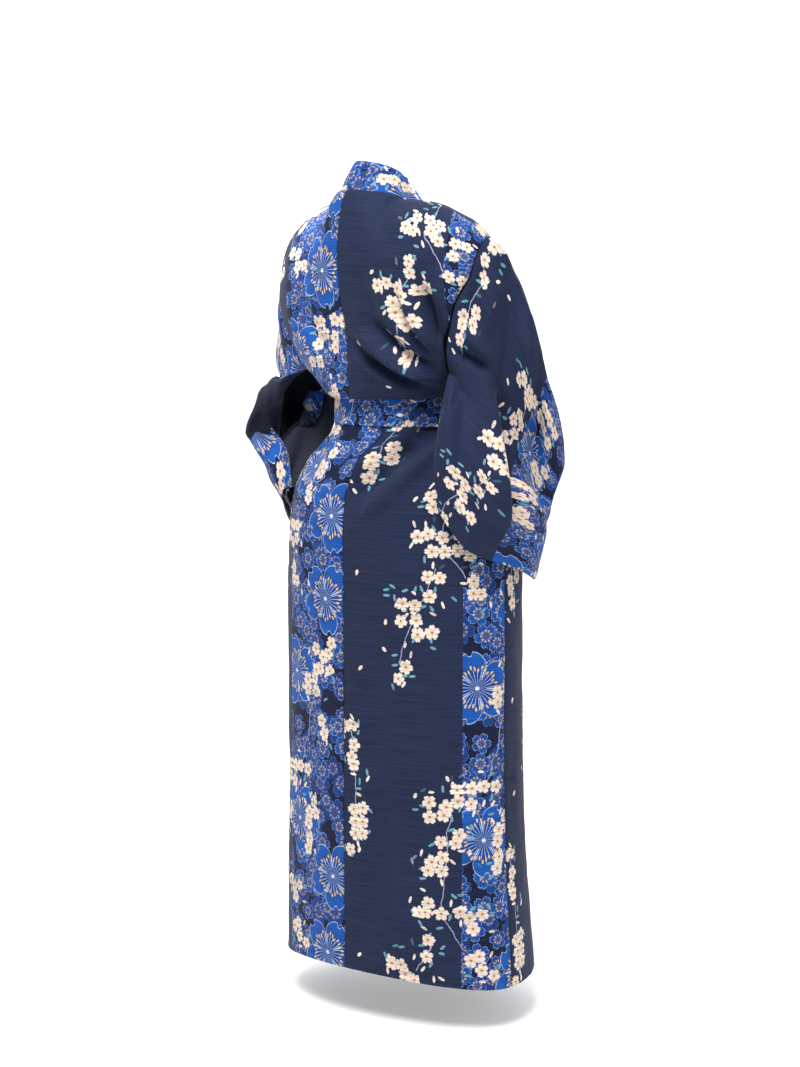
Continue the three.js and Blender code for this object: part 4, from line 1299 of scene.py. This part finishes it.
def fabric(name, printed):
    """The cloth's material: its printed face or its plain dark reverse."""
    if name in bpy.data.materials:
        return bpy.data.materials[name]
    material = bpy.data.materials.new(name)
    material.use_nodes = True
    tree = material.node_tree
    shader = tree.nodes["Principled BSDF"]
    w = Wiring(tree)
    uv = tree.nodes.new("ShaderNodeUVMap")
    uv.uv_map = "cloth"
    values = {}
    for label in ("edge", "hem"):
        node = tree.nodes.new("ShaderNodeAttribute")
        node.attribute_name = label
        values[label.capitalize()] = node.outputs["Fac"]
    weave = w.group(weave_group(), Place=uv.outputs[0], **values)
    colors = bpy.context.scene.kimono_colors
    if printed:
        color = w.group(print_group(colors), Place=uv.outputs[0])["Color"]
    else:
        color = colors.reverse
    light = w.times_plus(w.minus(weave["Slub"], 0.5), 0.8, 1.0)
    light = w.times_plus(w.minus(weave["Streak"], 0.52), 1.7, light)
    # Painted shade: the colour is dimmed by up to 0.45 along the seams, and along the hem's stitch
    # line.
    light = w.times(light, w.times_plus(weave["Seam"], -0.45, 1.0))
    w.put(shader.inputs["Base Color"], w.scaled(color, light))
    w.put(shader.inputs["Normal"], weave["Normal"])
    w.put(shader.inputs["Roughness"], w.times_plus(weave["Slub"], 0.16, 0.72))
    shader.inputs["Sheen Weight"].default_value = 0.05
    shader.inputs["Sheen Roughness"].default_value = 0.45
    shader.inputs["Specular IOR Level"].default_value = 0.2
    return material


def print_material():
    """The printed face of the cotton."""
    return fabric("Printed Cotton", True)


def reverse_material():
    """The dark reverse of the cotton."""
    return fabric("Cotton Reverse", False)


class KIMONO_OT_backs(bpy.types.Operator):
    """Builds the two back panels."""

    bl_idname = "kimono.backs"
    bl_label = "Back panels"

    def execute(self, context):
        for name in ("back_right", "back_left"):
            piece = body_panel(name, context.scene.kimono)
        return {"FINISHED"}


class KIMONO_OT_fronts(bpy.types.Operator):
    """Builds the two front panels and the gores between them and the collar."""

    bl_idname = "kimono.fronts"
    bl_label = "Front panels and gores"

    def execute(self, context):
        for name, flat in (("front_right", (0.26, 1.34)), ("front_left", (0.26, 1.34)),
                           ("okumi_right", (0.15, 1.08)), ("okumi_left", (0.15, 1.08))):
            piece = body_panel(name, context.scene.kimono)
        return {"FINISHED"}


class KIMONO_OT_collar(bpy.types.Operator):
    """Builds the two lengths of the collar band."""

    bl_idname = "kimono.collar"
    bl_label = "Collar band"

    def execute(self, context):
        joint = NECK_SHARE / 4
        for side, start, end, length in (("left", -1, joint - 0.0003, 0.86),
                                         ("right", joint + 0.0003, 1, 0.78)):
            name = "collar_" + side
            piece = collar_piece("cloth_" + name, name, start, end, context.scene.kimono)
        return {"FINISHED"}


class KIMONO_OT_sleeves(bpy.types.Operator):
    """Builds the two sleeves."""

    bl_idname = "kimono.sleeves"
    bl_label = "Sleeves"

    def execute(self, context):
        for side, rows, free_edge in (("right", SLEEVE_RIGHT, FREE_EDGE_RIGHT),
                                      ("left", SLEEVE_LEFT, FREE_EDGE_LEFT)):
            piece = sleeve_piece(side, rows, free_edge, context.scene.kimono)
        return {"FINISHED"}


class KIMONO_OT_sash(bpy.types.Operator):
    """Builds the sash, its knot and its two hanging ends."""

    bl_idname = "kimono.sash"
    bl_label = "Sash"

    def execute(self, context):
        settings = context.scene.kimono
        piece = sash_piece(settings)
        for side, sign in (("right", 1), ("left", -1)):
            name = "sash_end_" + side
            end = sash_end_piece("cloth_" + name, name, sign, settings)
        knot = knot_piece()
        return {"FINISHED"}


# The backdrop's light as a share of the key light, and the sheet behind the kimono in metres.
WALL_SHARE = 0.7
BACKDROP_AWAY = 3.0
BACKDROP_BEND = 1.6
BACKDROP_HEIGHT = 7.0


def add_light(name, place, aim, size, power):
    """Adds a square soft light that shines from a place along a direction."""
    data = bpy.data.lights.new(name, "AREA")
    data.size = size
    data.energy = power
    lamp = bpy.data.objects.new(name, data)
    lamp.location = place
    lamp.rotation_euler = aim.to_track_quat("-Z", "Y").to_euler()
    bpy.context.collection.objects.link(lamp)


class KIMONO_OT_stage(bpy.types.Operator):
    """Sets the pale floor, the soft lights and the camera."""

    bl_idname = "kimono.stage"
    bl_label = "Stage"

    def execute(self, context):
        settings = context.scene.kimono_stage
        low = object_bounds()[0]
        floor_z = low.z - settings.floor_drop
        make_floor(floor_z)
        place = Vector(CAMERA_PLACE / 1000)
        target = Vector(CAMERA_TARGET / 1000)
        camera = bpy.data.objects.new("Camera", bpy.data.cameras.new("Camera"))
        camera.data.lens = CAMERA_LENS
        camera.location = place
        camera.rotation_euler = (target - place).to_track_quat("-Z", "Y").to_euler()
        context.collection.objects.link(camera)
        context.scene.camera = camera
        toward = (place - target).normalized()
        toward.z = 0
        left = Vector((0, 0, 1)).cross(-toward)
        key = toward * 1.8 + left * 0.5 + Vector((0, 0, 2.9))
        fill = toward * 1.6 - left * 2.2 + Vector((0, 0, 0.3))
        top = Vector((0.2, -0.4, 2.6))
        wall = target - toward * 0.6 + Vector((0, 0, 2.4))
        wall_power = settings.key_power * WALL_SHARE
        add_light("Wall", wall, -toward - Vector((0, 0, 0.35)), 4, wall_power)
        add_light("Key", target + key, -key, 1.5, settings.key_power)
        add_light("Fill", target + fill, -fill, 2.4, settings.fill_power)
        add_light("Top", target + top, -top, 2.0, settings.fill_power)
        world = bpy.data.worlds.new("Studio")
        world.use_nodes = True
        sky = world.node_tree.nodes["Background"]
        sky.inputs["Color"].default_value = (0.94, 0.96, 1, 1)
        seen = world.node_tree.nodes.new("ShaderNodeLightPath").outputs["Is Camera Ray"]
        w = Wiring(world.node_tree)
        w.put(sky.inputs["Strength"], w.times_plus(seen, 0.6, 0.28))
        context.scene.world = world
        context.scene.view_settings.view_transform = "Standard"
        return {"FINISHED"}


def make_floor(height):
    """A pale sheet that lies under the kimono and curves up far behind it."""
    away = Vector(CAMERA_TARGET - CAMERA_PLACE)
    away.z = 0
    away.normalize()
    aside = Vector((-away.y, away.x, 0))
    profile = [(-5.0, 0.0), (BACKDROP_AWAY, 0.0)]
    for angle in np.linspace(0.1, 1.57, 14):
        profile.append((BACKDROP_AWAY + BACKDROP_BEND * math.sin(angle),
                        BACKDROP_BEND - BACKDROP_BEND * math.cos(angle)))
    profile.append((BACKDROP_AWAY + BACKDROP_BEND, BACKDROP_HEIGHT))
    mesh = bpy.data.meshes.new("Floor")
    points = [away * far + aside * wide + Vector((0, 0, height + up))
              for far, up in profile for wide in (-8, 8)]
    faces = [(2 * i, 2 * i + 1, 2 * i + 3, 2 * i + 2) for i in range(len(profile) - 1)]
    mesh.from_pydata([tuple(p) for p in points], [], faces)
    mesh.shade_smooth()
    material = bpy.data.materials.new("Pale Floor")
    material.use_nodes = True
    w = Wiring(material.node_tree)
    spot = material.node_tree.nodes.new("ShaderNodeTexCoord").outputs["Object"]
    shader = material.node_tree.nodes["Principled BSDF"]
    tone = w.blend(w.noise(spot, 1.4), linear(236, 237, 240), linear(244, 244, 246))
    w.put(shader.inputs["Base Color"], tone)
    shader.inputs["Roughness"].default_value = 0.75
    shader.inputs["Emission Color"].default_value = (1, 1, 1, 1)
    shader.inputs["Emission Strength"].default_value = 0.3
    mesh.materials.append(material)
    floor = bpy.data.objects.new("Floor", mesh)
    bpy.context.collection.objects.link(floor)
    floor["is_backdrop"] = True


OPERATORS = (KIMONO_OT_backs, KIMONO_OT_fronts, KIMONO_OT_collar, KIMONO_OT_sleeves,
             KIMONO_OT_sash, KIMONO_OT_stage)


class KIMONO_PT_sidebar(bpy.types.Panel):
    """The kimono's settings and a button for each step of its making."""

    bl_label = "Worn Kimono"
    bl_idname = "KIMONO_PT_sidebar"
    bl_space_type = "VIEW_3D"
    bl_region_type = "UI"
    bl_category = "Kimono"

    def draw(self, context):
        scene = context.scene
        for settings in (scene.kimono, scene.kimono_colors, scene.kimono_stage):
            box = self.layout.box()
            for name in settings.__annotations__:
                box.prop(settings, name)
        for operator in OPERATORS:
            self.layout.operator(operator.bl_idname)


CLASSES = (KimonoSettings, PrintColors, StageSettings, *OPERATORS, KIMONO_PT_sidebar)


def register():
    """Registers the classes and puts the settings on the scene."""
    for item in CLASSES:
        bpy.utils.register_class(item)
    bpy.types.Scene.kimono = bpy.props.PointerProperty(type=KimonoSettings)
    bpy.types.Scene.kimono_colors = bpy.props.PointerProperty(type=PrintColors)
    bpy.types.Scene.kimono_stage = bpy.props.PointerProperty(type=StageSettings)


def unregister():
    """Takes the settings and the classes away again."""
    del bpy.types.Scene.kimono_stage
    del bpy.types.Scene.kimono_colors
    del bpy.types.Scene.kimono
    for item in reversed(CLASSES):
        bpy.utils.unregister_class(item)


def main():
    """Builds every piece and the stage."""
    register()
    bpy.ops.kimono.backs()
    bpy.ops.kimono.fronts()
    bpy.ops.kimono.collar()
    bpy.ops.kimono.sleeves()
    bpy.ops.kimono.sash()
    bpy.ops.kimono.stage()


if __name__ == "__main__":
    main()
